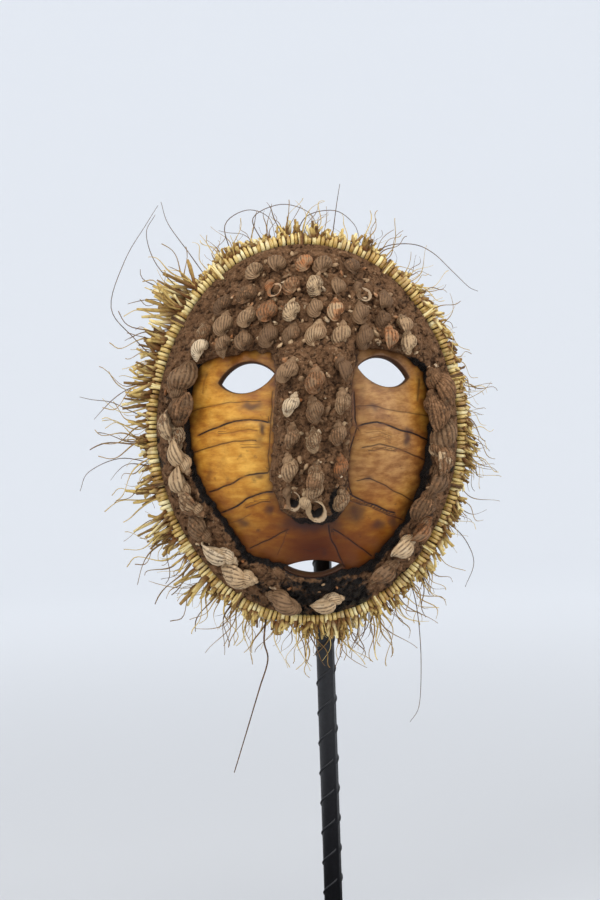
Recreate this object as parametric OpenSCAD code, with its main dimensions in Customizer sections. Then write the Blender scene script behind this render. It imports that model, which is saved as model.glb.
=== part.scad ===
// Folk mask of turtle shell, mastic and snail shells, with a bound fibre rim, on a ribbed steel stand.
// Frame: +Z up, the mask faces -Y, the origin is under the middle of the base, on the post's axis.
// All lengths are millimetres.

/* [Mask] */
// Width of the rim, between the middles of the bound coil
rim_w = 198; // [190:1:206]
// Height of the rim, between the middles of the bound coil
rim_h = 243; // [236:1:250]
// Radius of the rim's top and bottom arcs
rim_end_r = 86; // [84:1:88]
// Radius of the bound coil, over its binding
coil_r = 4.4; // [4:0.1:4.8]
// Thickness of the split-cane binding
binding_t = 1.1; // [0.8:0.1:1.4]

/* [Turtle shell] */
// Width of the shell at its edge
shell_w = 186; // [182:1:187]
// Height of the shell at its edge
shell_h = 231; // [227:1:232]
// How far the shell domes forward of its edge
dome = 60; // [56:1:62]
// Thickness of the shell's wall
shell_t = 5; // [4.5:0.1:5.2]
// Length of an eye opening
eye_len = 37; // [34:1:38]
// Height of an eye opening
eye_open = 19; // [16:1:20]
// Length of the mouth opening
mouth_len = 38; // [36:1:42]
// Height of the mouth opening, along the shell
mouth_open = 14; // [12:1:16]

/* [Mastic and snails] */
// Thickness of the mastic on the shell
mastic_t = 6; // [5:0.5:7]
// Length of a snail shell
snail_len = 19; // [17:0.5:19.5]
// Width of a snail shell
snail_w = 13; // [11:0.5:13.5]
// Width of the nose ridge's foot
nose_w = 46; // [42:1:50]

/* [Fringe] */
// Length of the stub ends at the left of the mask
fringe_left_l = 25; // [16:1:26]
// Length of the stub ends at the right of the mask
fringe_right_l = 12; // [8:1:16]
// Length of the stub ends at the top of the mask
fringe_top_l = 13; // [8:1:16]
// Length of the stub ends at the bottom of the mask
fringe_bottom_l = 18; // [12:1:22]

/* [Stand] */
// Side of the square base plate
base_side = 150; // [130:5:180]
// Thickness of the base plate
base_t = 8; // [6:1:10]
// Radius of the post's core
post_r = 5.9; // [5.7:0.1:6]
// Height of the mask's centre above the ground
mask_z = 345; // [335:1:355]

/* [Hidden] */
$fn = 48;

// Where the mask's centre is, in the stand's frame
mask_x = -7.5;
rim_y = -11.8;

// The rim is an oval of four arcs: two ends and two sides, which meet smoothly
rim_end_c = rim_h / 2 - rim_end_r;
rim_side_r = (pow(rim_end_r, 2) - pow(rim_w / 2, 2) - pow(rim_end_c, 2)) / (2 * (rim_end_r - rim_w / 2));
rim_side_c = rim_side_r - rim_w / 2;
rim_join = atan2(rim_end_c, rim_side_c);
ARCS = ["top", "left", "bottom", "right"];

// The shell is part of a lemon-shaped body of revolution about an upright axis behind the rim
shell_round_r = (pow(shell_w / 2, 2) + pow(dome, 2)) / (2 * dome);
shell_arc_r = (pow(shell_h / 2, 2) + pow(dome, 2)) / (2 * dome);
shell_axis_back = shell_round_r - dome;
shell_steps = 22;
gap = 0.15;

// Eyes and mouth: place across and up from the mask's centre, and the slant of each
EYES = [[-38.5, 35, 8], [48.5, 36, -12]];
MOUTH = [0.5, -86.5, 0];

// The bare part of the shell: a round bottom with two upper corners, under a straight top
bare_r = 76;
bare_y = -12;
bare_corner = [61, 34];
bare_corner_r = 17;
bare_top = 50;

// The nose ridge, from its root under the forehead to its tip
nose_root = [5, 54];
nose_tip = [2, -34];
nose_step = 9;
nose_height = 16;

// A snail lies on its side, sunk this share of its width below the mastic's face
snail_sunk = 0.3;

// Stub ends in each arc of the rim, and the radius of one
STUBS = [34, 40, 36, 38];
stub_r = 1.3;

// The lashings: each ties the coil to the hoop through a hole in the shell
hoop_r = 2.5;
hoop_in = 18;
strand_r = 0.8;
lashing_hole_r = 1.5;
LASHING_TURNS = [18, 42, 62, 90, 118, 138, 162, 198, 222, 246, 290, 314, 338];

// The stand
pad_t = 1.5;
base_corner_r = 6;
weld = 4;
post_top_over = 6;
rib_pitch = 19.5;
rib_tilt = 36;
rib_r = post_r + 0.8;
rib_t = 1.6;
post_turn = 40;
bar_r = 2.5;
bar_half = 39;
bar_fwd = 2.6;
bar_up = 83.8;
sleeve_r = 4;
sleeve_l = 16;
arm_r = 4;
base_top = pad_t + base_t;
bar_y = rim_y - bar_fwd;
bar_z = mask_z + bar_up;

// Points of the long loose strands, across, up and forward of the mask's centre; each is a list
STRANDS = [
    [[-30, -118, 0], [-32, -134, 3], [-30, -146, 5], [-36, -164, 6], [-44, -188, 6], [-52, -212, 4], [-54, -218, 3]],
    [[62, -96, 0], [66, -112, 2], [68, -134, 3], [68, -158, 3], [66, -180, 2], [60, -190, 1]],
    [[45, 110, 0], [56, 116, 2], [72, 116, 4], [84, 110, 5], [96, 98, 5], [106, 88, 4], [112, 85, 3]],
    [[-99, 10, 0], [-112, 16, 3], [-124, 22, 4], [-136, 24, 4], [-144, 26, 3]],
    [[-92, 45, 0], [-108, 62, 3], [-122, 82, 4], [-112, 112, 4], [-98, 134, 3], [-90, 146, 2]],
    [[-60, 98, 0], [-72, 116, 3], [-84, 134, 4], [-88, 148, 4]],
    [[20, 121, 0], [22, 134, 2], [24, 146, 3], [26, 156, 3]],
];
strand_sides = 6;
long_strand_r = 0.7;

// ---- Frames and outlines ----

// Places its children in the mask's own frame: x across, y up, z forward of the rim
module mask_frame() {
    translate([mask_x, rim_y, mask_z]) rotate([90, 0, 0]) children();
}

// Radius of the lemon, a given distance outside the shell's outer face, at height v
function lemon_r(v, out) = shell_round_r - shell_arc_r + sqrt(pow(shell_arc_r + out, 2) - v * v);

// How far forward of the rim the shell's outer face is, at a place across and up
function face_z(u, v, out) = sqrt(pow(lemon_r(v, out), 2) - u * u) - shell_axis_back;

// A solid lemon whose face is a given distance outside the shell's outer face
module lemon(out) {
    top = shell_h / 2 + 3;
    heights = [for (i = [0 : shell_steps]) top * (2 * i / shell_steps - 1)];
    translate([0, 0, -shell_axis_back]) rotate([-90, 0, 0]) rotate_extrude()
        polygon(concat([[0, -top]], [for (v = heights) [lemon_r(v, out), -v]], [[0, top]]));
}

// Everything forward of the rim's plane
module front_space(start) {
    translate([-rim_w, -rim_h, start]) cube([2 * rim_w, 2 * rim_h, dome + 60]);
}

// Centre, radius and middle direction of each of the rim's four arcs
function arc_centre(i) = [[0, rim_end_c], [rim_side_c, 0], [0, -rim_end_c], [-rim_side_c, 0]][i];
function arc_radius(i) = (i % 2 == 0) ? rim_end_r : rim_side_r;
function arc_middle(i) = 90 + 90 * i;
function arc_half(i) = (i % 2 == 0) ? 90 - rim_join : rim_join;

// Sweeps a flat profile along one arc of the rim, moved outwards; the profile's x is outwards
module along_arc(i, out) {
    translate(arc_centre(i)) rotate(arc_middle(i) - arc_half(i))
        rotate_extrude(angle = 2 * arc_half(i)) translate([arc_radius(i) + out, 0]) children();
}

// The arc that a direction from the mask's centre belongs to, and the rim's point in that direction
function arc_of(turn) = abs(sin(turn)) > sin(rim_reach) ? (turn < 180 ? 0 : 2) : (cos(turn) < 0 ? 1 : 3);
rim_reach = atan2(rim_end_c + rim_end_r * sin(rim_join), rim_end_r * cos(rim_join));
function along_ray(c, r, d) = (c * d) + sqrt(pow(c * d, 2) - c * c + r * r);
function rim_point(turn, out) = let (i = arc_of(turn), d = [cos(turn), sin(turn)])
    along_ray(arc_centre(i), arc_radius(i) + out, d) * d;
function rim_normal(turn, out) = let (n = rim_point(turn, out) - arc_centre(arc_of(turn))) n / norm(n);

// The inside of the rim, as a flat outline
module rim_outline(out) {
    polygon([for (k = [0 : 71]) rim_point(5 * k + 2.5, out)]);
}

// An almond: two equal arcs that meet in points
module almond(len, high) {
    r = (pow(len / 2, 2) + pow(high / 2, 2)) / high;
    intersection() {
        translate([0, r - high / 2]) circle(r);
        translate([0, high / 2 - r]) circle(r);
    }
}

// Places its children on the shell at [across, up, slant], with z straight out of the shell
module on_shell(place, out) {
    u = place[0];
    v = place[1];
    lift = asin(v / shell_arc_r);
    side = asin(u / lemon_r(v, 0));
    translate([u, v, face_z(u, v, out)]) rotate([0, side, 0]) rotate([-lift, 0, 0]) rotate(place[2]) children();
}

// The bare part of the shell, as a flat outline
module bare_outline(grow) {
    intersection() {
        hull() {
            translate([0, bare_y]) circle(bare_r + grow);
            for (side = [-1, 1]) translate([side * bare_corner[0], bare_corner[1]]) circle(bare_corner_r + grow);
        }
        translate([-rim_w, bare_top + grow - 2 * rim_h]) square([2 * rim_w, 2 * rim_h]);
    }
}

// ---- The mask ----

// Cutters for the eyes and the mouth, made larger where another piece keeps clear of them
module face_openings(grow) {
    for (e = EYES) on_shell(e, 0) translate([0, 0, -30]) linear_extrude(70) almond(eye_len + grow, eye_open + grow);
    on_shell(MOUTH, 0) translate([0, 0, -30]) linear_extrude(70) almond(mouth_len + grow, mouth_open + grow);
}

// The loop that a lashing follows round coil and hoop, from the rim's middle: outwards and forwards
function lashing_loop(k) = let (a = 30 * k, end = cos(a) > 0 ? coil_r : hoop_r, x0 = cos(a) > 0 ? 0 : -hoop_in)
    [x0 + (end + strand_r + 0.3) * cos(a), (end + strand_r + 0.3) * sin(a)];

module turtle_shell() {
    color("#b87830") mask_frame() difference() {
        intersection() {
            lemon(0);
            front_space(0);
        }
        lemon(-shell_t);
        face_openings(0);
        for (turn = LASHING_TURNS) lashing_hole(turn);
    }
}

// A hole near the shell's edge, where the front run of a lashing passes through
module lashing_hole(turn) {
    n = rim_normal(turn, 0);
    p = rim_point(turn, 0) - 9 * n;
    translate([p[0], p[1], hoop_r + 1.4]) rotate(atan2(n[1], n[0])) rotate([0, 90, 0])
        cylinder(r = lashing_hole_r, h = 24, center = true);
}

module mastic_bed() {
    color("#2a2420") mask_frame() difference() {
        intersection() {
            lemon(mastic_t);
            front_space(coil_r + 0.4);
            linear_extrude(dome + 60) rim_outline(-coil_r - 0.4);
        }
        lemon(gap);
        linear_extrude(dome + 60) bare_outline(0);
        face_openings(5);
    }
}

// A strip with round ends that runs from the nose's root to its tip, as a flat outline
module nose_outline(wide) {
    hull() {
        translate(nose_root) circle(wide / 2);
        translate(nose_tip) circle(wide / 2);
    }
}

module nose_ridge() {
    color("#3a2c22") mask_frame() difference() {
        union() {
            nose_layer(nose_w, nose_step);
            nose_layer(nose_w * 0.6, nose_height);
        }
        lemon(gap);
        face_openings(1);
    }
}

// One layer of the ridge, clear of the mastic above it
module nose_layer(wide, high) {
    intersection() {
        lemon(high);
        linear_extrude(dome + 60) intersection() {
            nose_outline(wide);
            bare_outline(-gap);
        }
        front_space(10);
    }
}

// A snail shell's outline from its round end to its tip, spun about its own axis, along +Y
module snail(size) {
    l = snail_len * size;
    r = snail_w / 2 * size;
    rotate([-90, 0, 0]) rotate_extrude($fn = 24) polygon([
        [0, -l * 0.4], [r * 0.55, -l * 0.36], [r, -l * 0.14], [r * 0.9, l * 0.08],
        [r * 0.55, l * 0.34], [r * 0.12, l * 0.56], [0, l * 0.58]]);
}

// Snails at [across, up, slant, size], on a face that is a given distance outside the shell
module snails(places, out) {
    for (p = places) on_shell(p, out + snail_w * p[3] * (0.5 - snail_sunk)) snail(p[3]);
}

// Steady variation for the snails' slants and sizes, from -1 to 1
function vary(k) = sin(k * 137.5 + 40);

// A row of snails at one height: count, the turn from the middle to its ends, and a bow that lowers them
function snail_row(count, turn, v, bow, seed) = [for (k = [0 : count - 1])
    let (t = 2 * k / (count - 1) - 1, h = v - bow * t * t)
        [lemon_r(h, mastic_t) * sin(turn * t) + vary(seed + k), h, -20 * t + 8 * vary(seed + 3 * k),
         0.97 + 0.05 * vary(seed + 7 * k)]];

// Snails that follow the border between two directions; each points along the border
function snail_band(first, last, count, inward, seed) = [for (k = [0 : count - 1])
    let (turn = first + (last - first) * k / (count - 1), side = (k % 2 == 0) ? 0 : 1,
         p = rim_point(turn, -inward - 3.2 * side))
        [p[0], p[1], turn + 14 * vary(seed + k), 0.97 + 0.05 * vary(seed + 5 * k)]];

FOREHEAD_UPPER = concat(snail_row(5, 27, 106, 4, 1), snail_row(8, 36, 92, 11, 20));
FOREHEAD_LOWER = concat(snail_row(10, 41.5, 76, 12, 40), snail_row(10, 41, 61, 6, 60));
NOSE_ROWS = 5;
NOSE = [for (row = [0 : NOSE_ROWS - 1], side = [-1, 0, 1])
    let (v = 38 - 19.3 * row - (side == 0 ? 4 : 0), t = (nose_root[1] - v) / (nose_root[1] - nose_tip[1]),
         u = nose_root[0] + (nose_tip[0] - nose_root[0]) * t)
        [u + 15 * side, v, 6 * side + 8 * vary(row * 3 + side), 0.93 + 0.04 * vary(row + 5 * side)]];

module forehead_snails_upper() {
    color("#6a4f3c") mask_frame() snails(FOREHEAD_UPPER, mastic_t);
}

module forehead_snails_lower() {
    color("#725642") mask_frame() snails(FOREHEAD_LOWER, mastic_t);
}

module nose_snails() {
    color("#6e5440") mask_frame() for (p = NOSE)
        snails([p], abs(p[0] - 3.5) < 8 ? nose_height : nose_step);
}

module left_cheek_snails() {
    color("#8f7758") mask_frame() snails(snail_band(158, 243, 9, 14.5, 3), mastic_t);
}

module right_cheek_snails() {
    color("#8a7052") mask_frame() snails(snail_band(378, 297, 9, 14.5, 11), mastic_t);
}

module chin_snails() {
    color("#9a8262") mask_frame() snails([[-20, -106.5, 96, 1.0], [8, -108, 84, 1.0]], mastic_t - 1);
}

// The snail at the nose's tip shows its mouth: a cup that opens forwards
module nose_tip_snail() {
    r = snail_w / 2 + 1.2;
    color("#a08058") mask_frame() translate([nose_tip[0] + 0.5, nose_tip[1] - 15, face_z(nose_tip[0], nose_tip[1] - 15, 1)])
        rotate_extrude() polygon([[0, 0], [r * 0.7, 2], [r, 9], [r, 15], [r * 0.82, 17], [r * 0.6, 15],
                                  [r * 0.62, 9], [r * 0.3, 5], [0, 4.4]]);
}

// A round tube along a list of points, as one closed polyhedron
module tube(path, r, sides, closed) {
    n = len(path);
    rings = [for (i = [0 : n - 1])
        let (a = path[closed ? (i + n - 1) % n : max(i - 1, 0)],
             b = path[closed ? (i + 1) % n : min(i + 1, n - 1)],
             t = (b - a) / norm(b - a),
             s = cross(t, abs(t[2]) > 0.7 ? [1, 0, 0] : [0, 0, 1]), x = s / norm(s), y = cross(t, x))
            [for (k = [0 : sides - 1]) path[i] + r * (cos(360 * k / sides) * x + sin(360 * k / sides) * y)]];
    last = closed ? n - 1 : n - 2;
    walls = [for (i = [0 : last], k = [0 : sides - 1])
        let (j = (i + 1) % n, m = (k + 1) % sides) [i * sides + k, i * sides + m, j * sides + m, j * sides + k]];
    ends = closed ? [] : [[for (k = [sides - 1 : -1 : 0]) k], [for (k = [0 : sides - 1]) (n - 1) * sides + k]];
    polyhedron([for (ring = rings, p = ring) p], concat(walls, ends), convexity = 4);
}

// A ring that follows the rim, a given distance outside its middle
module ring(out, r) {
    tube([for (k = [0 : 4 : 356]) let (p = rim_point(k + 2, out)) [p[0], p[1], 0]], r, 12, true);
}

module rim_core() {
    color("#5a4024") mask_frame() ring(0, coil_r - binding_t - 0.2);
}

module rim_binding(i) {
    color("#c9a24a") mask_frame() along_arc(i, 0) difference() {
        circle(coil_r);
        circle(coil_r - binding_t);
    }
}

module inner_hoop() {
    color("#9a7a40") mask_frame() ring(-hoop_in, hoop_r);
}

// Stub ends that stand out of the binding along one arc, of mixed lengths and slants
module fringe(i, count, reach) {
    color("#b8913c") mask_frame() translate(arc_centre(i)) for (k = [0 : count - 1])
        rotate(arc_middle(i) + arc_half(i) * (2 * (k + 0.5) / count - 1)) translate([arc_radius(i) + coil_r - 0.4, 0, 0])
            rotate([0, 90 - 9 * vary(k + 5 * i), 0]) rotate([14 * vary(2 * k + i), 0, 0])
                cylinder(r1 = stub_r, r2 = stub_r * 0.6, h = reach * (0.8 + 0.2 * vary(4 * k + i)), $fn = 16);
}

module rim_lashings() {
    color("#a5813a") mask_frame() for (turn = LASHING_TURNS) {
        n = rim_normal(turn, 0);
        p = rim_point(turn, 0);
        tube([for (k = [0 : 11]) let (q = lashing_loop(k)) [p[0] + q[0] * n[0], p[1] + q[0] * n[1], q[1]]],
             strand_r, strand_sides, true);
    }
}

module loose_strands() {
    color("#8a7340") mask_frame() for (s = STRANDS) {
        out = coil_r + 1.2;
        d = [s[0][0], s[0][1], 0] / norm([s[0][0], s[0][1], 0]);
        tube([for (k = [0 : len(s) - 1]) k == 0 ? s[k] + out * d : s[k]], long_strand_r, strand_sides, false);
    }
}

// ---- The stand ----

// A square plate with round corners, centred on the post
module plate(side, corner, thick) {
    straight = side / 2 - corner;
    linear_extrude(thick) union() {
        square([side, 2 * straight], center = true);
        square([2 * straight, side], center = true);
        for (x = [-1, 1], y = [-1, 1]) translate([x * straight, y * straight]) circle(corner);
    }
}

module base_pad() {
    color("#3a3c3e") plate(base_side - 2, base_corner_r - 1, pad_t);
}

module base_plate() {
    color("#1c1e20") translate([0, 0, pad_t]) plate(base_side, base_corner_r, base_t);
}

module post_weld() {
    color("#202224") translate([0, 0, base_top]) rotate_extrude()
        polygon([[post_r, 0], [post_r + weld, 0], [post_r + weld * 0.4, weld * 0.4], [post_r, weld]]);
}

// A ribbed bar: tilted discs leave slanting ribs on two flanks, with a straight rib between them
module post() {
    top = bar_z + post_top_over;
    ribs_from = base_top + 3 * weld;
    count = floor((top - ribs_from - weld) / rib_pitch);
    color("#17181a") union() {
        translate([0, 0, base_top]) cylinder(r = post_r, h = top - base_top);
        rotate(post_turn) for (k = [0 : count - 1], flip = [0, 1])
            translate([0, 0, ribs_from + rib_pitch * (k + 0.5 * flip) + 2]) post_rib(flip);
        rotate(post_turn) for (side = [-1, 1])
            translate([-rib_t, side * (post_r + 0.2) - 0.6, ribs_from - 2])
                cube([2 * rib_t, 1.2, top - ribs_from - weld]);
    }
}

// One slanting rib, on one flank
module post_rib(flip) {
    intersection() {
        rotate([rib_tilt, 0, 0]) cylinder(r = rib_r, h = rib_t, center = true);
        translate([flip == 0 ? 0 : -2 * rib_r, -rib_r, -2 * rib_r]) cube([2 * rib_r, 2 * rib_r, 4 * rib_r]);
    }
}

module hanger_arm() {
    color("#17181a") translate([0, -post_r + 0.3, bar_z]) rotate([90, 0, 0])
        cylinder(r = arm_r, h = -bar_y - post_r - bar_r + 0.6);
}

module hanger_bar() {
    color("#17181a") translate([mask_x - bar_half, bar_y, bar_z]) rotate([0, 90, 0])
        cylinder(r = bar_r, h = 2 * bar_half);
}

// A soft tube that turns on the bar, at one of its ends
module hanger_sleeve(side) {
    color("#2c2c2e") translate([mask_x + side * (bar_half - sleeve_l / 2 - 1), bar_y, bar_z]) rotate([0, 90, 0])
        difference() {
            cylinder(r = sleeve_r, h = sleeve_l, center = true);
            cylinder(r = bar_r + 0.06, h = sleeve_l + 2, center = true);
        }
}

turtle_shell();
mastic_bed();
nose_ridge();
forehead_snails_upper();
forehead_snails_lower();
nose_snails();
left_cheek_snails();
right_cheek_snails();
chin_snails();
nose_tip_snail();
rim_core();
inner_hoop();
rim_lashings();
rim_binding(0);  // rim_binding_top
rim_binding(1);  // rim_binding_left
rim_binding(2);  // rim_binding_bottom
rim_binding(3);  // rim_binding_right
fringe(0, STUBS[0], fringe_top_l);  // fringe_top
fringe(1, STUBS[1], fringe_left_l);  // fringe_left
fringe(2, STUBS[2], fringe_bottom_l);  // fringe_bottom
fringe(3, STUBS[3], fringe_right_l);  // fringe_right
loose_strands();
base_pad();
base_plate();
post_weld();
post();
hanger_arm();
hanger_bar();
hanger_sleeve(-1);  // hanger_sleeve_left
hanger_sleeve(1);  // hanger_sleeve_right
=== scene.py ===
# %% [markdown]
# # A folk mask on its stand
#
# The mask is a plate of polished turtle shell, bedded in black mastic and brown earth.
# Snail shells are pressed into the bed, and a bundle bound with split cane runs round the edge.
# It hangs on a ribbed steel bar that is welded to a base plate.
#
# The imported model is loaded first, as a fixed frame that every piece is built around.
# The mask's shapes are worked out in millimetres, across, up and forward of its own centre,
# because that is how such a mask is measured, and are placed in metres at the end.

# %% Load the frame
import math

import bmesh
import bpy
import numpy as np
from mathutils import Euler, Matrix, Vector, noise


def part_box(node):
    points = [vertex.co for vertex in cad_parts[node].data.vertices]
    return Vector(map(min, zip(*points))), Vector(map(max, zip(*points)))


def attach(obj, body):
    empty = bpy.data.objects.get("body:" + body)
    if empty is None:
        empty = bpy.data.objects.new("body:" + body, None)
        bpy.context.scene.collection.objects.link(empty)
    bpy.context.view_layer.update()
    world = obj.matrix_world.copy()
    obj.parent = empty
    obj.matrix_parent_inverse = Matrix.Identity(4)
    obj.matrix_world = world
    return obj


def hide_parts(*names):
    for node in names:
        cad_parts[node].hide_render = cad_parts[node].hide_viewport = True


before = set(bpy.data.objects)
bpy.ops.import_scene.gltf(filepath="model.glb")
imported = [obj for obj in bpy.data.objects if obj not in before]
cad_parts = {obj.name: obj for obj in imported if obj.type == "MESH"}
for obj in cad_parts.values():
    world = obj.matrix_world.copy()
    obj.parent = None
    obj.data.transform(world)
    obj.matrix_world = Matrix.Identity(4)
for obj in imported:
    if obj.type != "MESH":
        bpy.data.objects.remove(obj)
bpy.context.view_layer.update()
MM = 0.001
MASK_AT = (-7.5, -11.8, 345.0)

# %% [markdown]
# ## Camera
#
# A long lens from well back keeps the mask's outline true, as in a picture of a museum piece.
# The camera is turned a little about its own line of sight, so the post leans by two degrees.

# %% Camera
AIM = Vector((-12.4, -11.8, 332.4)) * MM
AZIMUTH, ELEVATION, ROLL, DISTANCE = -1.5, 2.0, -1.9, 1.36

a, e = math.radians(AZIMUTH), math.radians(ELEVATION)
back = Vector((math.sin(a) * math.cos(e), -math.cos(a) * math.cos(e), math.sin(e)))
camera = bpy.data.objects.new("camera", bpy.data.cameras.new("camera"))
camera.data.lens = 85
camera.data.clip_end = 50
turn = (-back).to_track_quat("-Z", "Y").to_matrix() @ Matrix.Rotation(math.radians(ROLL), 3, "Z")
camera.matrix_world = Matrix.Translation(AIM + back * DISTANCE) @ turn.to_4x4()
bpy.context.collection.objects.link(camera)
bpy.context.scene.camera = camera
bpy.context.scene.view_settings.view_transform = "Standard"
print("camera at", [round(x, 3) for x in camera.location])

# %% [markdown]
# ## Shader and geometry nodes, written as sums
#
# A finish is easier to read as arithmetic than as a list of links.
# `Value` wraps a socket: adding or multiplying two of them adds a Math node.
# `Nodes.add` makes every other node from its type, its settings and what feeds it.

# %% Node helpers
class Value:
    """A socket that can be used in sums."""

    def __init__(self, nodes, socket):
        self.nodes, self.socket = nodes, socket

    def math(self, operation, other=0.0, swap=False):
        pair = {0: other, 1: self} if swap else {0: self, 1: other}
        return self.nodes.add("ShaderNodeMath", pair, operation=operation)[0]

    def __add__(self, other): return self.math("ADD", other)
    def __radd__(self, other): return self.math("ADD", other)
    def __sub__(self, other): return self.math("SUBTRACT", other)
    def __rsub__(self, other): return self.math("SUBTRACT", other, swap=True)
    def __mul__(self, other): return self.math("MULTIPLY", other)
    def __rmul__(self, other): return self.math("MULTIPLY", other)
    def __pow__(self, other): return self.math("POWER", other)
    def larger(self, other): return self.math("MAXIMUM", other)

    def between(self, low, high):
        """Rises smoothly from 0 to 1 as the value goes from low to high."""
        return self.nodes.add("ShaderNodeMapRange", {0: self, 1: low, 2: high},
                              interpolation_type="SMOOTHSTEP")[0]


class Made:
    """A node whose outputs are taken by number or name."""

    def __init__(self, nodes, node):
        self.nodes, self.node = nodes, node

    def __getitem__(self, key):
        return Value(self.nodes, self.node.outputs[key])


class Nodes:
    """A tree of nodes that is written line by line."""

    def __init__(self, tree):
        self.tree = tree

    def add(self, kind, inputs=None, stops=None, **settings):
        node = self.tree.nodes.new(kind)
        for name, value in settings.items():
            setattr(node, name, value)
        if stops:
            ramp = node.color_ramp.elements
            while len(ramp) < len(stops):
                ramp.new(1.0)
            for element, (place, colour) in zip(ramp, stops):
                element.position, element.color = place, (*colour, 1.0)
        for key, value in (inputs or {}).items():
            self.feed(node.inputs[key], value)
        return Made(self, node)

    def feed(self, socket, value):
        if isinstance(value, Value):
            self.tree.links.new(value.socket, socket)
        elif socket.type == "RGBA" and len(value) == 3:
            socket.default_value = (*value, 1.0)
        else:
            socket.default_value = value


class Finish(Nodes):
    """A material, with the few patterns that this object's finishes are made from."""

    def __init__(self, name, **shader):
        self.material = bpy.data.materials.new(name)
        self.material.use_nodes = True
        super().__init__(self.material.node_tree)
        self.shader = self.tree.nodes["Principled BSDF"]
        self.place = self.add("ShaderNodeTexCoord")["Object"]
        for key, value in shader.items():
            self.set(key, value)

    def set(self, key, value):
        self.feed(self.shader.inputs[key.replace("_", " ")], value)

    def noise(self, size, detail=4.0, rough=0.55, stretch=(1, 1, 1), at=None):
        """Cloudy noise whose patches are about size millimetres across."""
        spot = self.add("ShaderNodeMapping", {"Vector": at or self.place, "Scale": stretch})[0]
        return self.add("ShaderNodeTexNoise", {"Vector": spot, "Scale": 1000.0 / size,
                                               "Detail": detail, "Roughness": rough})[0]

    def attribute(self, name):
        return self.add("ShaderNodeAttribute", attribute_name=name)["Fac"]

    def ramp(self, value, *stops):
        return self.add("ShaderNodeValToRGB", {0: value}, stops=stops)[0]

    def mix(self, share, first, second):
        return self.add("ShaderNodeMix", {0: share, 6: first, 7: second},
                        data_type="RGBA")[2]

    def bump(self, height, depth, strength=1.0):
        """A relief whose height of 1 stands depth millimetres."""
        self.set("Normal", self.add("ShaderNodeBump", {"Height": height, "Distance": depth * MM,
                                                      "Strength": strength})[0])


print("node helpers ready")

# %% [markdown]
# ## The mask's shape as a rule
#
# The shell is part of a lemon-shaped body: an arc spun about an upright axis behind the rim.
# A second, larger lemon round the first one is the face of the mastic, so a single function
# says how far forward any layer stands.

# %% The lemon
SHELL_HALF_W, SHELL_HALF_H, DOME, SHELL_T = 93.0, 115.5, 60.0, 5.0
ROUND_R = (SHELL_HALF_W ** 2 + DOME ** 2) / (2 * DOME)
ARC_R = (SHELL_HALF_H ** 2 + DOME ** 2) / (2 * DOME)
AXIS_BACK = ROUND_R - DOME


def waist(v, out=0.0):
    """The lemon's radius at height v, with its face moved out."""
    return ROUND_R - ARC_R + np.sqrt(np.maximum((ARC_R + out) ** 2 - v ** 2, 1.0))


def front(u, v, out=0.0):
    """How far forward of the rim the lemon's face is."""
    return np.sqrt(np.maximum(waist(v, out) ** 2 - u ** 2, 1.0)) - AXIS_BACK


def outward(u, v):
    """The direction straight out of the shell, across, up and forward."""
    up = np.clip(v / ARC_R, -1, 1)
    flat = np.sqrt(1 - up ** 2)
    side = np.clip(u / waist(v), -1, 1)
    return np.stack([side * flat, up, np.sqrt(1 - side ** 2) * flat], -1)


def placed(points):
    """Points across, up and forward in millimetres, as places in the frame in metres."""
    p = np.asarray(points, float)
    return np.stack([MASK_AT[0] + p[..., 0], MASK_AT[1] - p[..., 2], MASK_AT[2] + p[..., 1]], -1) * MM


def shell_frame(u, v, slant, out=0.0):
    """Where a thing sits on the shell, and its own axes: across, up and out."""
    side, lift = math.asin(u / waist(v)), math.asin(v / ARC_R)
    axes = (Matrix.Rotation(side, 3, "Y") @ Matrix.Rotation(-lift, 3, "X")
            @ Matrix.Rotation(math.radians(slant), 3, "Z"))
    return Vector((u, v, float(front(u, v, out)))), axes


print("lemon radii", round(ROUND_R, 1), round(ARC_R, 1))

# %% [markdown]
# ## Outlines
#
# An outline is written as a distance: below zero inside it and above zero outside.
# Distances combine with plain `minimum` and `maximum`, and the mesh builder only needs to know
# where the value is zero.

# %% Outlines
EYES = [(-38.5, 35, 8, 37, 19), (48.5, 36, -12, 37, 19)]
MOUTH = (0.5, -86.5, 0, 37.5, 13)
RIM_HALF_W, RIM_HALF_H, RIM_END_R, COIL_R = 99.0, 121.5, 86.0, 4.4
RIM_END_C = RIM_HALF_H - RIM_END_R
RIM_SIDE_R = (RIM_END_R ** 2 - RIM_HALF_W ** 2 - RIM_END_C ** 2) / (2 * (RIM_END_R - RIM_HALF_W))
RIM_SIDE_C = RIM_SIDE_R - RIM_HALF_W
RIM_JOIN = math.degrees(math.atan2(RIM_END_C, RIM_SIDE_C))
NOSE_ROOT, NOSE_TIP, NOSE_HEIGHT = (5, 54), (2, -34), 16.0
MASTIC_T = 6.0


def almond(u, v, hole, grow=0.0):
    """Distance from an almond-shaped hole, measured on the shell."""
    u0, v0, slant, length, high = hole
    at, axes = shell_frame(u0, v0, slant)
    p = np.stack([u - at.x, v - at.y, front(u, v) - at.z], -1) @ np.array(axes)
    r = ((length / 2) ** 2 + (high / 2) ** 2) / high
    y = r - high / 2
    return np.maximum(np.hypot(p[..., 0], p[..., 1] - y), np.hypot(p[..., 0], p[..., 1] + y)) - r - grow


def between_points(a, b, c, d, t):
    """A place on the smooth curve through four points, t of the way from b to c."""
    return 0.5 * (2 * b + (c - a) * t + (2 * a - 5 * b + 4 * c - d) * t * t
                  + (3 * b - a - 3 * c + d) * t ** 3)


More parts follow.
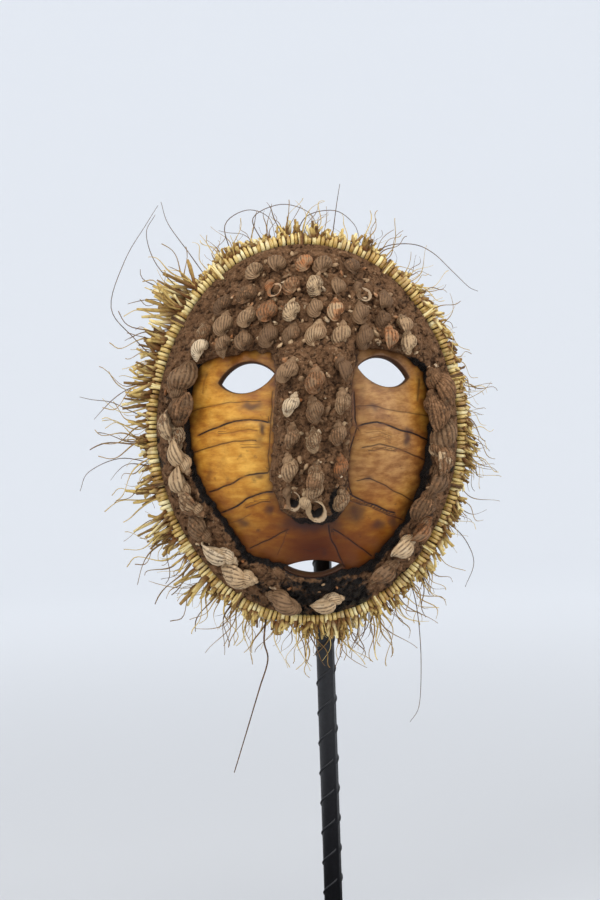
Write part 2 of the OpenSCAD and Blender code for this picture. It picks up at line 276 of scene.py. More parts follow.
def smooth_ring(corners, steps=8):
    """A smooth closed ring through a few corners."""
    p = np.array(corners, float)
    ring = []
    for a, b, c, d in zip(np.roll(p, 1, 0), p, np.roll(p, -1, 0), np.roll(p, -2, 0)):
        ring += [between_points(a, b, c, d, k / steps) for k in range(steps)]
    return np.array(ring)


def from_ring(u, v, ring):
    """Distance from a closed ring of points, below zero inside it."""
    shape = np.shape(u)
    x, y = np.ravel(u).astype(float), np.ravel(v).astype(float)
    best, inside = np.full(x.shape, 1e9), np.zeros(x.shape, bool)
    for (ax, ay), (bx, by) in zip(ring, np.roll(ring, -1, 0)):
        dx, dy = bx - ax, by - ay
        t = np.clip(((x - ax) * dx + (y - ay) * dy) / max(dx * dx + dy * dy, 1e-9), 0, 1)
        best = np.minimum(best, (x - ax - t * dx) ** 2 + (y - ay - t * dy) ** 2)
        inside ^= ((ay > y) != (by > y)) & (x < (bx - ax) * (y - ay) / (by - ay + 1e-12) + ax)
    return (np.sqrt(best) * np.where(inside, -1, 1)).reshape(shape)


BARE_RING = smooth_ring([
    (-65, 45), (-71, 33), (-73, 18), (-74, 1), (-73, -12), (-70, -25), (-64, -38), (-56, -50),
    (-48, -63), (-41, -75), (-31, -79), (-20, -82), (-8, -87), (3, -90), (14, -89), (22, -87),
    (30, -87), (37, -83), (44, -76), (52, -66), (61, -52), (68, -37), (73, -18), (76, 3), (76, 22),
    (73, 35), (64, 43), (55, 48), (42, 50.5), (28, 51), (4, 53), (-20, 50), (-37, 51), (-52, 48)])
NOSE_RING = smooth_ring([
    (-19, 56), (-19, 38), (-20, 24), (-22, 10), (-22, -2), (-24, -14), (-25, -25), (-23, -36),
    (-19, -46), (-13, -53), (-3, -57), (8, -57), (16, -54), (21, -46), (22, -35), (22, -25), (24, -14),
    (24, -4), (26, 10), (26, 22), (28, 36), (29, 56)])


def ripple(u, v, size=8.0):
    """A slow wave that never quite repeats, to make an edge look laid by hand."""
    a, b = u * 6.3 / size, v * 6.3 / size
    return (np.sin(a + 1.7 * np.sin(0.53 * b)) + np.sin(1.13 * b + 1.9 * np.sin(0.47 * a + 1))
            + 0.7 * np.sin(2.3 * a - 1.7 * b)) / 2.7


def wander(u, v, size, seed=0.0):
    """Gentle noise over the mask, from -1 to 1."""
    flat = np.stack([np.ravel(u), np.ravel(v)], -1) / size
    return np.array([noise.noise(Vector((x, y, seed))) for x, y in flat]).reshape(np.shape(u))


def bare(u, v):
    """Distance from the bare part of the shell."""
    return from_ring(u, v, BARE_RING) + 1.1 * ripple(u, v, 17) + 0.6 * ripple(u + 3, v, 7)


def rim_edge(u, v, grow=0.0):
    """Distance from the rim's middle line, less an amount."""
    ends = np.hypot(u, np.abs(v) - RIM_END_C) - RIM_END_R
    sides = np.hypot(np.abs(u) + RIM_SIDE_C, v) - RIM_SIDE_R
    steep = np.abs(v) * RIM_SIDE_C > (np.abs(u) + RIM_SIDE_C) * RIM_END_C
    return np.where(steep, ends, sides) - grow


def nose_edge(u, v):
    """Distance from the outline of the nose ridge."""
    return from_ring(u, v, NOSE_RING) + 0.9 * ripple(u, v + 5, 15) + 0.6 * ripple(u, v, 6)


print("rim join at", round(RIM_JOIN, 1), "degrees")

# %% [markdown]
# ## Sheets that follow an outline
#
# A fine grid is laid over the outline, and the points nearest the line are slid onto it.
# That gives clean holes with even faces, where a boolean would leave slivers.
# A closed piece is two such sheets, joined round every border by a rounded lip.

# %% Mesh builders
def patch(inside, half_w, half_h, step, centre=(0.0, 0.0)):
    """Grid points and faces of the area where inside() is below zero."""
    u, v = np.meshgrid(np.arange(-half_w, half_w + step, step) + centre[0],
                       np.arange(-half_h, half_h + step, step) + centre[1])
    for _ in range(3):
        d = inside(u, v)
        gu = (inside(u + 0.05, v) - inside(u - 0.05, v)) / 0.1
        gv = (inside(u, v + 0.05) - inside(u, v - 0.05)) / 0.1
        g = np.maximum(gu ** 2 + gv ** 2, 0.05)
        near = np.abs(d) < 0.6 * step * np.sqrt(g)
        u, v = np.where(near, u - d * gu / g, u), np.where(near, v - d * gv / g, v)
    ok = inside(u, v) < 0.02 * step
    rows, cols = u.shape
    faces = []
    for j in range(rows - 1):
        for i in range(cols - 1):
            ring = [(j, i), (j, i + 1), (j + 1, i + 1), (j + 1, i)]
            kept = [q for q in ring if ok[q]]
            if len(kept) >= 3:
                faces.append([q[0] * cols + q[1] for q in kept])
    used = sorted({k for f in faces for k in f})
    new = {k: n for n, k in enumerate(used)}
    flat = np.stack([u.ravel()[used], v.ravel()[used]], -1)
    return flat, [[new[k] for k in f] for f in faces]


def borders(faces):
    """The border edges of a sheet, each in the direction of its face."""
    edges = {}
    for f in faces:
        for a, b in zip(f, f[1:] + f[:1]):
            edges[(a, b)] = True
    return [(a, b) for a, b in edges if (b, a) not in edges]


def closed(top, bottom, faces, bulge, steps=5):
    """Joins two sheets of the same faces by a rounded lip. The top sheet's faces are anticlockwise."""
    n = len(top)
    edges = borders(faces)
    nexts = dict(edges)
    rim = sorted(nexts)
    push = {}
    for a, b in edges:
        along = top[b] - top[a]
        out = np.cross(along, (top[a] - bottom[a]) + (top[b] - bottom[b]))
        out = out / max(np.linalg.norm(out), 1e-9)
        for k in (a, b):
            push[k] = push.get(k, 0) + out
    points = [top, bottom]
    index = {}
    count = 2 * n
    for s in range(1, steps):
        t = (1 - math.cos(math.pi * s / steps)) / 2
        r = bulge * math.sin(math.pi * s / steps)
        row = []
        for k in rim:
            way = push[k] / max(np.linalg.norm(push[k]), 1e-9)
            index[(s, k)] = count + len(row)
            row.append(top[k] * (1 - t) + bottom[k] * t + way * r)
        points.append(np.array(row))
        count += len(row)
    for k in rim:
        index[(0, k)], index[(steps, k)] = k, n + k
    made = [list(f) for f in faces] + [[n + k for k in reversed(f)] for f in faces]
    for a, b in edges:
        for s in range(steps):
            made.append([index[(s, b)], index[(s, a)], index[(s + 1, a)], index[(s + 1, b)]])
    return np.concatenate(points), made


def tube_faces(rings, around, first=0, ring=False):
    """Faces round a tube of rings of points. A ring joins its own ends, and any other tube gets caps."""
    faces = []
    for k in range(rings if ring else rings - 1):
        for i in range(around):
            j, m = (i + 1) % around, (k + 1) % rings
            corners = (k * around + i, k * around + j, m * around + j, m * around + i)
            faces.append([first + n for n in corners])
    if not ring:
        faces.append([first + i for i in reversed(range(around))])
        faces.append([first + (rings - 1) * around + i for i in range(around)])
    return faces


def new_piece(name, points, faces, finish=None, smooth=True, marks=None, world=False):
    """A mesh object at the origin, from points in the mask's millimetres or the frame's metres."""
    mesh = bpy.data.meshes.new(name)
    places = np.asarray(points) if world else placed(points)
    mesh.from_pydata([tuple(p) for p in places], [], faces)
    mesh.polygons.foreach_set("use_smooth", [smooth] * len(mesh.polygons))
    for label, values in (marks or {}).items():
        mesh.attributes.new(label, "FLOAT", "POINT").data.foreach_set("value", np.asarray(values, np.float32))
    mesh.validate()
    piece = bpy.data.objects.new(name, mesh)
    bpy.context.collection.objects.link(piece)
    if finish:
        mesh.materials.append(finish.material)
    return piece


def outward_faces(piece):
    """Turns the faces of a closed piece outwards."""
    b = bmesh.new()
    b.from_mesh(piece.data)
    bmesh.ops.recalc_face_normals(b, faces=b.faces)
    b.to_mesh(piece.data)
    b.free()


def fit(piece, slot, body, *nodes):
    """Puts a finished piece in the place of its CAD nodes."""
    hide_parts(*nodes)
    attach(piece, body)
    print(piece.name, len(piece.data.polygons), "faces")


# %% [markdown]
# ## The turtle shell
# Painted shade darkens the shell along its border with the mastic and round the eyes and mouth.
#
# The plate is polished until it glows: amber in the middle of each bony plate, darker at the edges,
# with near-black seams between the plates and fine growth lines beside them.
# The seams are drawn as strokes on a dense mesh and kept in an attribute, so that the finish
# can darken and sink them together.

# %% Seams
SEAMS = [
    # half-width, darkness, then places across and up
    (0.45, 0.55, (-72, 15), (-66, 17), (-59, 18), (-48, 20), (-36, 20), (-30, 20)),
    (0.75, 1.0, (-69, 0), (-59, 4), (-53, 6), (-46, 8), (-36, 9), (-29, 8), (-25, 7)),
    (0.35, 0.5, (-56, 1), (-49, 1), (-44, 2), (-37, 3), (-32, 2)),
    (0.55, 0.7, (-73, -11), (-66, -9), (-56, -6), (-47, -4), (-33, -4)),
    (0.35, 0.5, (-42, -8), (-36, -8), (-31, -8)),
    (0.7, 0.9, (-63, -36), (-56, -33), (-50, -31), (-45, -28), (-38, -25), (-27, -24)),
    (0.75, 1.0, (-56, -49), (-47, -45), (-41, -41), (-35, -38), (-28, -36), (-24, -36)),
    (0.4, 0.8, (-41, -46), (-36, -44), (-30, -42), (-26, -42)),
    (0.4, 0.35, (-52, -56), (-45, -54), (-38, -50)),
    (0.6, 0.8, (-39, -72), (-33, -69), (-26, -66), (-20, -62), (-15, -60)),
    (0.8, 0.3, (-62, 38), (-64, 33), (-65, 26)),
    (0.5, 0.6, (-22, 26), (-23, 13), (-24, 4), (-25, -6), (-26, -14), (-25, -24)),
    (0.6, 0.9, (28, 24), (28, 9), (29, 2), (27, -3), (25, -10), (23, -18), (22, -26), (23, -34), (25, -41)),
    (0.75, 1.0, (29, 2), (34, 4), (42, 5), (48, 3), (54, 0), (64, -3), (70, -6), (77, -9)),
    (0.6, 0.7, (32, -11), (37, -10), (43, -9), (51, -11), (56, -13), (65, -17), (74, -21)),
    (0.35, 0.6, (36, -13), (44, -12), (53, -14)),
    (0.3, 0.4, (35, -2), (43, -1), (51, -5)), (0.3, 0.35, (37, -5), (44, -4), (50, -7)),
    (0.5, 0.7, (28, -31), (36, -30), (43, -33), (49, -37), (57, -42), (66, -47)),
    (0.75, 1.0, (23, -39), (28, -42), (34, -45), (40, -47), (47, -51), (52, -53)),
    (0.5, 0.7, (23, -43), (30, -46), (37, -48), (48, -54), (58, -58)),
    (0.5, 0.5, (30, 15), (37, 15), (43, 14), (54, 11), (66, 9), (75, 7)),
    (0.65, 0.85, (10, -58), (11, -66), (14, -72), (17, -80), (20, -86)),
    (0.6, 0.85, (13, -61), (19, -65), (25, -70), (32, -75), (37, -80)),
    (0.9, 0.45, (71, 30), (70, 22), (69, 17)),
    (0.35, 0.4, (-16, -60), (-18, -68), (-22, -76)), (0.35, 0.35, (-6, -73), (-1, -75), (6, -73)),
]
STAINS = [
    # across, up, half-length, half-height, darkness
    (-35, 17, 7.5, 2.6, 0.9), (-29, 3, 1.9, 4.2, 1.0), (-31, -4, 2.2, 5, 0.5),
    (-32, -26, 3.2, 1.6, 0.8), (-35, -29, 1.6, 1.6, 0.6), (-63, -24, 1.6, 6, 0.45),
    (-43, -56, 4.5, 3.2, 0.8), (-34, -60, 1.2, 1.2, 0.8), (-26, -47, 3, 3.4, 0.9),
    (-43, -14, 1, 1, 0.6), (-34, -14, 1.2, 1, 0.6), (-51, -27, 1.6, 1.2, 0.4), (-64, 38, 2.5, 2.5, 0.5),
    (61, -6, 2.2, 5, 0.95), (62, -1, 3, 1.6, 0.8), (40, 14, 3.6, 3, 0.75), (36, -30, 3, 1.8, 0.75),
    (27, -51, 6, 7, 0.85), (41, -60, 4, 3.4, 0.85), (51, -58, 3, 4, 0.8), (7, -76, 2.4, 2, 0.5),
    (-4, -57, 18, 5, 0.85), (12, -59, 6, 4.5, 0.7), (70, 26, 1.6, 9, 0.35), (33, 20, 2.5, 10, 0.25),
    (-24, -40, 2.5, 9, 0.35),
]


def seam_field(u, v, strokes):
    """Signed distance from the nearest seam, in half-widths, and how dark that seam is."""
    u, v = u + 0.5 * wander(u, v, 6, 3.1), v + 0.5 * wander(u, v, 6, 7.7)
    far, dark, best = np.full(len(u), 9.0), np.zeros(len(u)), np.full(len(u), 1e9)
    for half, strength, *path in strokes:
        for number, ((x0, y0), (x1, y1)) in enumerate(zip(path, path[1:])):
            dx, dy = x1 - x0, y1 - y0
            raw = ((u - x0) * dx + (v - y0) * dy) / (dx * dx + dy * dy)
            t = np.clip(raw, 0, 1)
            d = np.hypot(u - x0 - t * dx, v - y0 - t * dy) / half
            past = np.zeros(len(u))
            if number == 0:
                past = np.maximum(past, -raw)
            if number == len(path) - 2:
                past = np.maximum(past, raw - 1)
            taper = np.clip(1 - past * math.hypot(dx, dy) / 1.2, 0, 1) * np.clip(2 - d / 3, 0, 1)
            near = d < best
            best = np.where(near, d, best)
            far = np.where(near, d * np.sign((u - x0) * dy - (v - y0) * dx), far)
            dark = np.where(near, strength * taper, dark)
    return np.clip(far, -9, 9), dark


def stain_mark(u, v, stains):
    """How strongly each place is stained."""
    u2, v2 = u + 1.8 * wander(u, v, 4, 1.3), v + 1.8 * wander(u, v, 4, 4.4)
    mark = np.zeros(len(u))
    for x, y, a, b, dark in stains:
        mark = np.maximum(mark, dark * np.exp(-(((u2 - x) / a) ** 2 + ((v2 - y) / b) ** 2) ** 1.5))
    return mark


def soft(value, low, high):
    """Rises smoothly from 0 to 1 as the value goes from low to high."""
    t = np.clip((value - low) / (high - low), 0, 1)
    return t * t * (3 - 2 * t)


# %% Turtle shell mesh
def shell_inside(u, v):
    """Below zero where there is shell: within its edge and outside the eyes and the mouth."""
    edge = -front(u, v) * 0.45
    holes = np.maximum.reduce([-almond(u, v, h, 0.9) for h in [*EYES, MOUTH]])
    return np.maximum(edge, holes)


flat, faces = patch(shell_inside, 95, 118, 0.95)
u, v = flat.T
normal = outward(u, v)
top = np.stack([u, v, front(u, v)], -1)
swell = 0.4 * wander(u, v, 22, 2.0) + 0.1 * wander(u, v, 7, 5.0)
far, seam = seam_field(u, v, SEAMS)
sunk = 0.3 * seam * np.exp(-far ** 2 / 3)
outer = top + normal * (swell - sunk)[:, None]
inner = top - normal * (SHELL_T + 0.6 * wander(u, v, 14, 9.0))[:, None]
points, made = closed(outer, inner, faces, 0.9)
n, rest = len(u), len(points) - 2 * len(u)
holes = np.minimum.reduce([almond(u, v, h) for h in [*EYES, MOUTH]])
border = np.maximum(-np.maximum(bare(u, v), -nose_edge(u, v)), 0)
spread = lambda outside, inside, lip: np.concatenate([outside, outside * 0 + inside, np.full(rest, lip)])
marks = {
    "far": spread(far, 9.0, 9.0), "seam": spread(seam, 0.0, 0.0),
    "stain": spread(stain_mark(u, v, STAINS), 0.0, 0.0),
    # edge: painted shade along the border where the bare shell meets the raised mastic
    "edge": spread(0.7 * np.exp(-border / 2.5) + 0.3 * np.exp(-border / 8.0), 0.5, 0.5),
    # hole: painted shade round the eye and mouth holes, full on the shell's cut walls
    "hole": spread(np.exp(-np.maximum(holes, 0) / 1.6), 0.0, 1.0), "inside": spread(u * 0, 1.0, 0.7),
    "gold": spread(np.exp(-((u + 52) / 26) ** 2 - ((v + 8) / 38) ** 2), 0.0, 0.0),
    # painted_reflection: the right plate, where a pale reflection of a light is painted into the colour
    "painted_reflection": spread(soft(u, 0, 34) * (1 - soft(u, 58, 74)) * soft(v, -62, -22), 0.0, 0.0),
    "red": spread(np.exp(-((u - 2) / 21) ** 2 - ((v + 73) / 14) ** 2), 0.0, 0.0),
    "low": spread(1 - soft(v, -84, -18), 0.0, 0.0)}

amber = Finish("polished amber shell", Specular_IOR_Level=0.15, Coat_Weight=0.05, Coat_Roughness=0.12)
cloud = amber.noise(30, 3.0, 0.5)
grain = amber.noise(8, 5.0, 0.6, stretch=(0.7, 1, 2.2))
mark = {k: amber.attribute(k) for k in marks}
tone = amber.ramp(cloud * 0.5 + grain * 0.5 + mark["gold"] * 0.14 - mark["low"] * 0.07,
                  (0.32, (0.17, 0.045, 0.006)), (0.45, (0.35, 0.12, 0.014)),
                  (0.56, (0.55, 0.24, 0.030)), (0.70, (0.76, 0.40, 0.070)))
# painted reflection: a paler, greyer colour on the right plate stands in for a light's reflection
painted_reflection = amber.mix(grain.between(0.35, 0.65), (0.19, 0.095, 0.036), (0.37, 0.215, 0.098))
tone = amber.mix(mark["painted_reflection"] * 0.62, tone, painted_reflection)
blotch = amber.noise(11, 5.0, 0.65).between(0.48, 0.72)
tone = amber.mix(blotch * (0.25 + mark["low"] * 0.3), tone, (0.15, 0.048, 0.010))
tone = amber.mix(mark["low"] * 0.84, tone, (0.145, 0.036, 0.004))
tone = amber.mix(mark["red"] * 0.92, tone, (0.060, 0.009, 0.002))
fine = amber.noise(2.6, 6.0, 0.7, stretch=(0.45, 1, 3.0)).between(0.54, 0.74)
tone = amber.mix(fine * 0.3, tone, (0.12, 0.04, 0.015))
spots = amber.noise(3.4, 4.0, 0.6).between(0.62, 0.74) * (0.35 + mark["low"] * 0.4)
tone = amber.mix(spots, tone, (0.055, 0.016, 0.006))
# painted shade along the border of the bare shell
tone = amber.mix(mark["edge"] * 0.85, tone, (0.05, 0.017, 0.008))
tone = amber.mix(mark["stain"] * (0.55 + grain * 0.6), tone, (0.030, 0.013, 0.014))
line = mark["seam"] * (1.0 - mark["far"].math("ABSOLUTE").between(0.3, 1.15)) * grain.between(0.2, 0.5)
halo = mark["seam"] * (1.0 - mark["far"].math("ABSOLUTE").between(0.0, 4.5))
tone = amber.mix(halo * 0.35, tone, (0.10, 0.03, 0.012))
tone = amber.mix(line * 0.95, tone, (0.010, 0.006, 0.007))
# painted shade round the eye and mouth holes and on the shell's cut walls
tone = amber.mix(mark["hole"] * 0.8, tone, (0.035, 0.013, 0.007))
tone = amber.mix(mark["inside"] * 0.7, tone, (0.045, 0.022, 0.012))
amber.set("Base_Color", tone)
amber.set("Roughness", 0.27 + amber.noise(10, 5.0) * 0.18 + mark["inside"] * 0.3)
scratches = amber.noise(1.8, 5.0, 0.6, stretch=(0.5, 1, 2.5))
amber.bump(scratches * 0.3 + amber.noise(14, 2.0) * 0.8 - line * 0.9, 0.3)

turtle_shell = new_piece("turtle_shell_plate", points, made, amber, marks=marks)
fit(turtle_shell, "carapace", "mask", "turtle_shell")

# %% [markdown]
# ## Where the snails sit
#
# Rows of snails cross the forehead and run down the nose, and a single file follows each cheek.
# Each place is across, up, slant and size. A sine that never repeats gives each one its own slant,
# so the rows look laid by hand, yet come out the same each time.

# %% Snail places
def vary(k):
    return math.sin(math.radians(k * 137.5 + 40))


def snail_row(count, half_turn, v, bow, seed):
    row = []
    for k in range(count):
        t = 2 * k / (count - 1) - 1
        h = v - bow * t * t
        across = float(waist(h, MASTIC_T)) * math.sin(math.radians(half_turn * t)) + vary(seed + k)
        row.append((across, h, -20 * t + 8 * vary(seed + 3 * k), 0.97 + 0.05 * vary(seed + 7 * k)))
    return row


def rim_point(turn, out):
    """The rim's point in a direction from the mask's centre, and the way out of the rim there."""
    c, s = math.cos(math.radians(turn)), math.sin(math.radians(turn))
    reach = 100.0
    for _ in range(12):
        reach -= float(rim_edge(np.array(reach * c), np.array(reach * s), out))
    u, v = reach * c, reach * s
    steep = abs(v) * RIM_SIDE_C > (abs(u) + RIM_SIDE_C) * RIM_END_C
    centre = (0, math.copysign(RIM_END_C, v)) if steep else (-math.copysign(RIM_SIDE_C, u), 0)
    away = Vector((u - centre[0], v - centre[1])).normalized()
    return Vector((u, v)), away


def snail_band(first, last, count, inward, seed):
    band = []
    for k in range(count):
        turn = first + (last - first) * k / (count - 1)
        p, _ = rim_point(turn, -inward - 3.2 * (k % 2))
        band.append((p.x, p.y, turn + 14 * vary(seed + k), 1.38 + 0.1 * vary(seed + 5 * k)))
    return band


SNAILS = {
    "forehead_snails_upper": snail_row(5, 27, 106, 4, 1) + snail_row(8, 36, 92, 11, 20),
    "forehead_snails_lower": snail_row(10, 41.5, 76, 12, 40) + snail_row(10, 41, 61, 6, 60),
    "nose_snails": [],
    "left_cheek_snails": snail_band(158, 243, 9, 14.5, 3),
    "right_cheek_snails": snail_band(378, 297, 9, 14.5, 11),
    "chin_snails": [(-20, -106.5, 76, 1.3), (8, -108, -92, 1.3)],
}
MIDDLE_DROP = (4, 4, 4, 4, -6)
for row in range(5):
    for side in (-1, 0, 1):
        v = 38 - 19.3 * row - (MIDDLE_DROP[row] if side == 0 else 0)
        t = (NOSE_ROOT[1] - v) / (NOSE_ROOT[1] - NOSE_TIP[1])
        across = NOSE_ROOT[0] + (NOSE_TIP[0] - NOSE_ROOT[0]) * t + 15 * side
        SNAILS["nose_snails"].append((across, v, 6 * side + 8 * vary(row * 3 + side),
                                      0.93 + 0.04 * vary(row + 5 * side)))
print(sum(len(s) for s in SNAILS.values()), "snails")

# %% [markdown]
# ## The mastic
#
# Warm tree gum was smeared over the shell, the snails were pushed in, and brown earth was rubbed on.
# The gum rises round each snail and sinks between them. One height rule covers the bed and the
# nose ridge, so the two pieces meet without a step.

# %% Mastic height
ALL_SNAILS = np.array([(s[0], s[1]) for group in SNAILS.values() for s in group])


def seat_height(u, v):
    """How far the mastic would stand outside the shell if it were smoothed with a finger."""
    edge = np.clip(bare(u, v), 0, None)
    bed = MASTIC_T * (1 - np.exp(-edge / 1.8))
    deep = np.clip(-nose_edge(u, v) / 19, 0, 1)
    nose = NOSE_HEIGHT * (1 - (1 - deep) ** 2) ** 0.55
    return np.maximum(bed, nose) + 1.2 * np.minimum(bed, nose) / MASTIC_T


def mastic_height(u, v):
    """How far the mastic's face stands outside the shell, with its crust and lumps."""
    h = seat_height(u, v)
    body = np.clip(h / 4, 0, 1)
    crust = 2.6 * soft(v, 40, 56) + 1.4 * soft(-v, -35, -10) * (1 - soft(-v, 80, 92))
    near = np.min(np.hypot(u[..., None] - ALL_SNAILS[:, 0], v[..., None] - ALL_SNAILS[:, 1]), -1)
    gap = soft(near, 6.5, 11)
    lumps = 1.3 * wander(u, v, 9, 1.0) + 0.9 * wander(u, v, 4.2, 2.0) + 0.6 * wander(u, v, 2.1, 3.0)
    return np.maximum(h + body * (crust * (1 - 0.8 * gap) + lumps - 2.0 * crevice(u, v)), 0.4)


def crevice(u, v, size=6.5):
    """1 in the cracks between lumps of crust, 0 on the lumps."""
    u2, v2 = u + 1.6 * ripple(u, v, 5), v + 1.6 * ripple(v, u, 6)
    flat = np.stack([np.ravel(u2), np.ravel(v2)], -1) / size
    apart = []
    for x, y in flat:
        d = noise.voronoi(Vector((x, y, 0.5)))[0]
        apart.append(d[1] - d[0])
    return np.exp(-np.array(apart).reshape(np.shape(u)) / 0.11)


def mastic_piece(name, inside, half_w, half_h, step, centre, tar):
    """A closed piece of mastic over the shell, with its earth or tar kept as a mark."""
    flat, faces = patch(inside, half_w, half_h, step, centre)
    u, v = flat.T
    h = mastic_height(u, v)
    top = np.stack([u, v, front(u, v, h)], -1)
    bottom = np.stack([u, v, front(u, v, 0.2)], -1)
    bottom[:, 2] = np.minimum(bottom[:, 2], top[:, 2] - 0.1)
    points, made = closed(top, bottom, faces, 0.2, 3)
    black = np.clip(tar(u, v), 0, 1)
    rest = np.ones(len(points) - len(u))
    return new_piece(name, points, made, mastic, marks={"tar": np.concatenate([black, rest]),
                                                         "crevice": np.concatenate([crevice(u, v), rest])})


mastic = Finish("mastic and earth", Specular_IOR_Level=0.18)
lumps = mastic.noise(6, 6.0, 0.65)
dust = mastic.noise(1.4, 6.0, 0.75)
tar = (mastic.attribute("tar") + (mastic.noise(9, 5.0, 0.65) - 0.5) * 1.1).between(0.44, 0.6)
earth = mastic.ramp(lumps * 0.5 + dust * 0.5, (0.36, (0.060, 0.028, 0.012)), (0.47, (0.18, 0.088, 0.040)),
                    (0.58, (0.29, 0.155, 0.076)), (0.70, (0.56, 0.37, 0.21)))
# painted shade: the cracks between lumps of crust and the low parts of the lumps are coloured near black
split = mastic.attribute("crevice")
painted_hollow_shade = 1.0 - lumps.between(0.36, 0.46)
earth = mastic.mix((split.between(0.3, 0.9) * 0.75).larger(painted_hollow_shade * 0.1), earth, (0.028, 0.014, 0.008))
# painted shade in small pits of the earth
painted_pit_shade = 1.0 - mastic.noise(2.4, 5.0, 0.7).between(0.34, 0.46)
earth = mastic.mix(painted_pit_shade * 0.65, earth, (0.028, 0.014, 0.007))
flecks = mastic.noise(1.7, 3.0, 0.6, stretch=(1, 1, 0.6)).between(0.62, 0.72)
earth = mastic.mix(flecks * 0.45, earth, (0.60, 0.42, 0.25))
black = mastic.mix(dust.between(0.5, 0.75) * 0.6, (0.010, 0.008, 0.007), (0.12, 0.070, 0.040))
mastic.set("Base_Color", mastic.mix(tar, earth, black))
mastic.set("Roughness", 0.92 - tar * 0.66 + dust * 0.1)
mastic.bump(lumps * 1.1 + dust * 1.1, 2.2)


def bed_tar(u, v):
    """Tar shows beside the bare shell, on the chin and in the gaps of the cheeks."""
    d = bare(u, v)
    rim = np.exp(-(d / 4.6) ** 2) * (v < 44) * 0.95
    chin = 0.62 * soft(-v, 86, 97) * (1 - soft(np.abs(u - 6), 26, 38))
    return np.maximum.reduce([rim, chin, 0.42 * soft(-v, -34, -24), 0.08 + 0 * u])


def nose_tar(u, v):
    return 1.5 * np.exp(-(((u - 17) / 7) ** 2 + ((v + 44) / 9) ** 2)) + 0.7 * soft(-v, 49, 54) + 0.04


bed_inside = lambda u, v: np.maximum.reduce([-bare(u, v), rim_edge(u, v, -3.2), -almond(u, v, MOUTH, 1.2)])
ridge_inside = lambda u, v: np.maximum.reduce([bare(u, v) + 0.05, nose_edge(u, v),
                                               *[-almond(u, v, h, 1.0) for h in EYES]])
bed = mastic_piece("mastic_bed_relief", bed_inside, 98, 121, 1.05, (0, 0), bed_tar)
ridge = mastic_piece("nose_ridge_relief", ridge_inside, 32, 60, 0.75, (3, 0), nose_tar)

# %% [markdown]
# ## Geometry Nodes that set shapes on points
#
# Snails, stub ends, hairs and the bar's ribs are all one job: take a few shapes and set a copy on
# each point, turned and sized by the point. The tree reads the turn, the size and the kind from
# named attributes, so one tree serves every repeated piece. It ends in real geometry,
# because instances are lost when a model leaves Blender.

# %% Set shapes on points
def geometry_tree(name, *inputs):
    tree = bpy.data.node_groups.new(name, "GeometryNodeTree")
    names = {}
    for label, kind in inputs:
        names[label] = tree.interface.new_socket(label, in_out="INPUT", socket_type=kind).identifier
    tree.interface.new_socket("Geometry", in_out="OUTPUT", socket_type="NodeSocketGeometry")
    nodes = Nodes(tree)
    return tree, names, nodes, nodes.add("NodeGroupInput")


setter, SETTER, g, given = geometry_tree("set shapes on points", ("Points", "NodeSocketGeometry"),
                                         ("Shapes", "NodeSocketCollection"), ("Finish", "NodeSocketMaterial"))
read = lambda name, kind: g.add("GeometryNodeInputNamedAttribute", {"Name": name},
                                data_type=kind)["Attribute"]
shapes = g.add("GeometryNodeCollectionInfo", {"Collection": given["Shapes"], "Separate Children": True,
                                              "Reset Children": True})[0]
copies = g.add("GeometryNodeInstanceOnPoints", {
    "Points": given["Points"], "Instance": shapes, "Pick Instance": True,
    "Instance Index": read("kind", "INT"),
    "Rotation": g.add("FunctionNodeEulerToRotation", {0: read("turn", "FLOAT_VECTOR")})[0],
    "Scale": read("size", "FLOAT_VECTOR")})[0]
real = g.add("GeometryNodeRealizeInstances", {0: copies})[0]
coated = g.add("GeometryNodeSetMaterial", {"Geometry": real, "Material": given["Finish"]})[0]
g.add("NodeGroupOutput", {0: coated})


def bake(piece, tree, names, values):
    """Runs a geometry tree on a piece and keeps the result as its plain mesh."""
    job = piece.modifiers.new("build", "NODES")
    job.node_group = tree
    for label, value in values.items():
        job[names[label]] = value
    graph = bpy.context.evaluated_depsgraph_get()
    graph.update()
    mesh = bpy.data.meshes.new_from_object(piece.evaluated_get(graph), preserve_all_data_layers=True,
                                           depsgraph=graph)
    piece.modifiers.clear()
    piece.data = mesh
    return piece


def spot(at, turn, size, kind, **marks):
    """Where one copy goes on the mask, how it is turned and sized, and the marks its finish reads."""
    return {"at": placed(at), "turn": turn.to_euler(), "size": size, "kind": kind, "marks": marks}


def set_on_points(name, spots, shapes, finish):
    """Sets a copy of a shape on each spot, as one mesh."""
    mesh = bpy.data.meshes.new(name)
    mesh.from_pydata([tuple(s["at"]) for s in spots], [], [])
    for label, kind, field in (("turn", "FLOAT_VECTOR", "vector"), ("size", "FLOAT_VECTOR", "vector"),
                               ("kind", "INT", "value")):
        data = mesh.attributes.new(label, kind, "POINT").data
        data.foreach_set(field, np.array([s[label] for s in spots]).ravel())
    for label in spots[0].get("marks", {}):
        data = mesh.attributes.new(label, "FLOAT", "POINT").data
        data.foreach_set("value", [s["marks"][label] for s in spots])
    piece = bpy.data.objects.new(name, mesh)
    bpy.context.collection.objects.link(piece)
    return bake(piece, setter, SETTER, {"Shapes": shapes, "Finish": finish.material})


def shape_box(name, pieces):
    """A collection of shapes, kept out of the scene."""
    box = bpy.data.collections.new(name)
    for piece in pieces:
        for home in list(piece.users_collection):
            home.objects.unlink(piece)
        box.objects.link(piece)
    return box


def joined(name, pieces):
    """Several meshes as one."""
    b = bmesh.new()
    for piece in pieces:
        b.from_mesh(piece.data)
    mesh = pieces[0].data.copy()
    b.to_mesh(mesh)
    b.free()
    one = bpy.data.objects.new(name, mesh)
    bpy.context.collection.objects.link(one)
    for piece in pieces:
        bpy.data.objects.remove(piece)
    return one


print("geometry tree ready")

# %% [markdown]
# ## Crumbs of crust
#
# Dried earth is never smooth: it breaks into flakes and crumbs, most of all between the snails.
# Small lumps of a few faces are strewn over the mastic and half sunk in it.

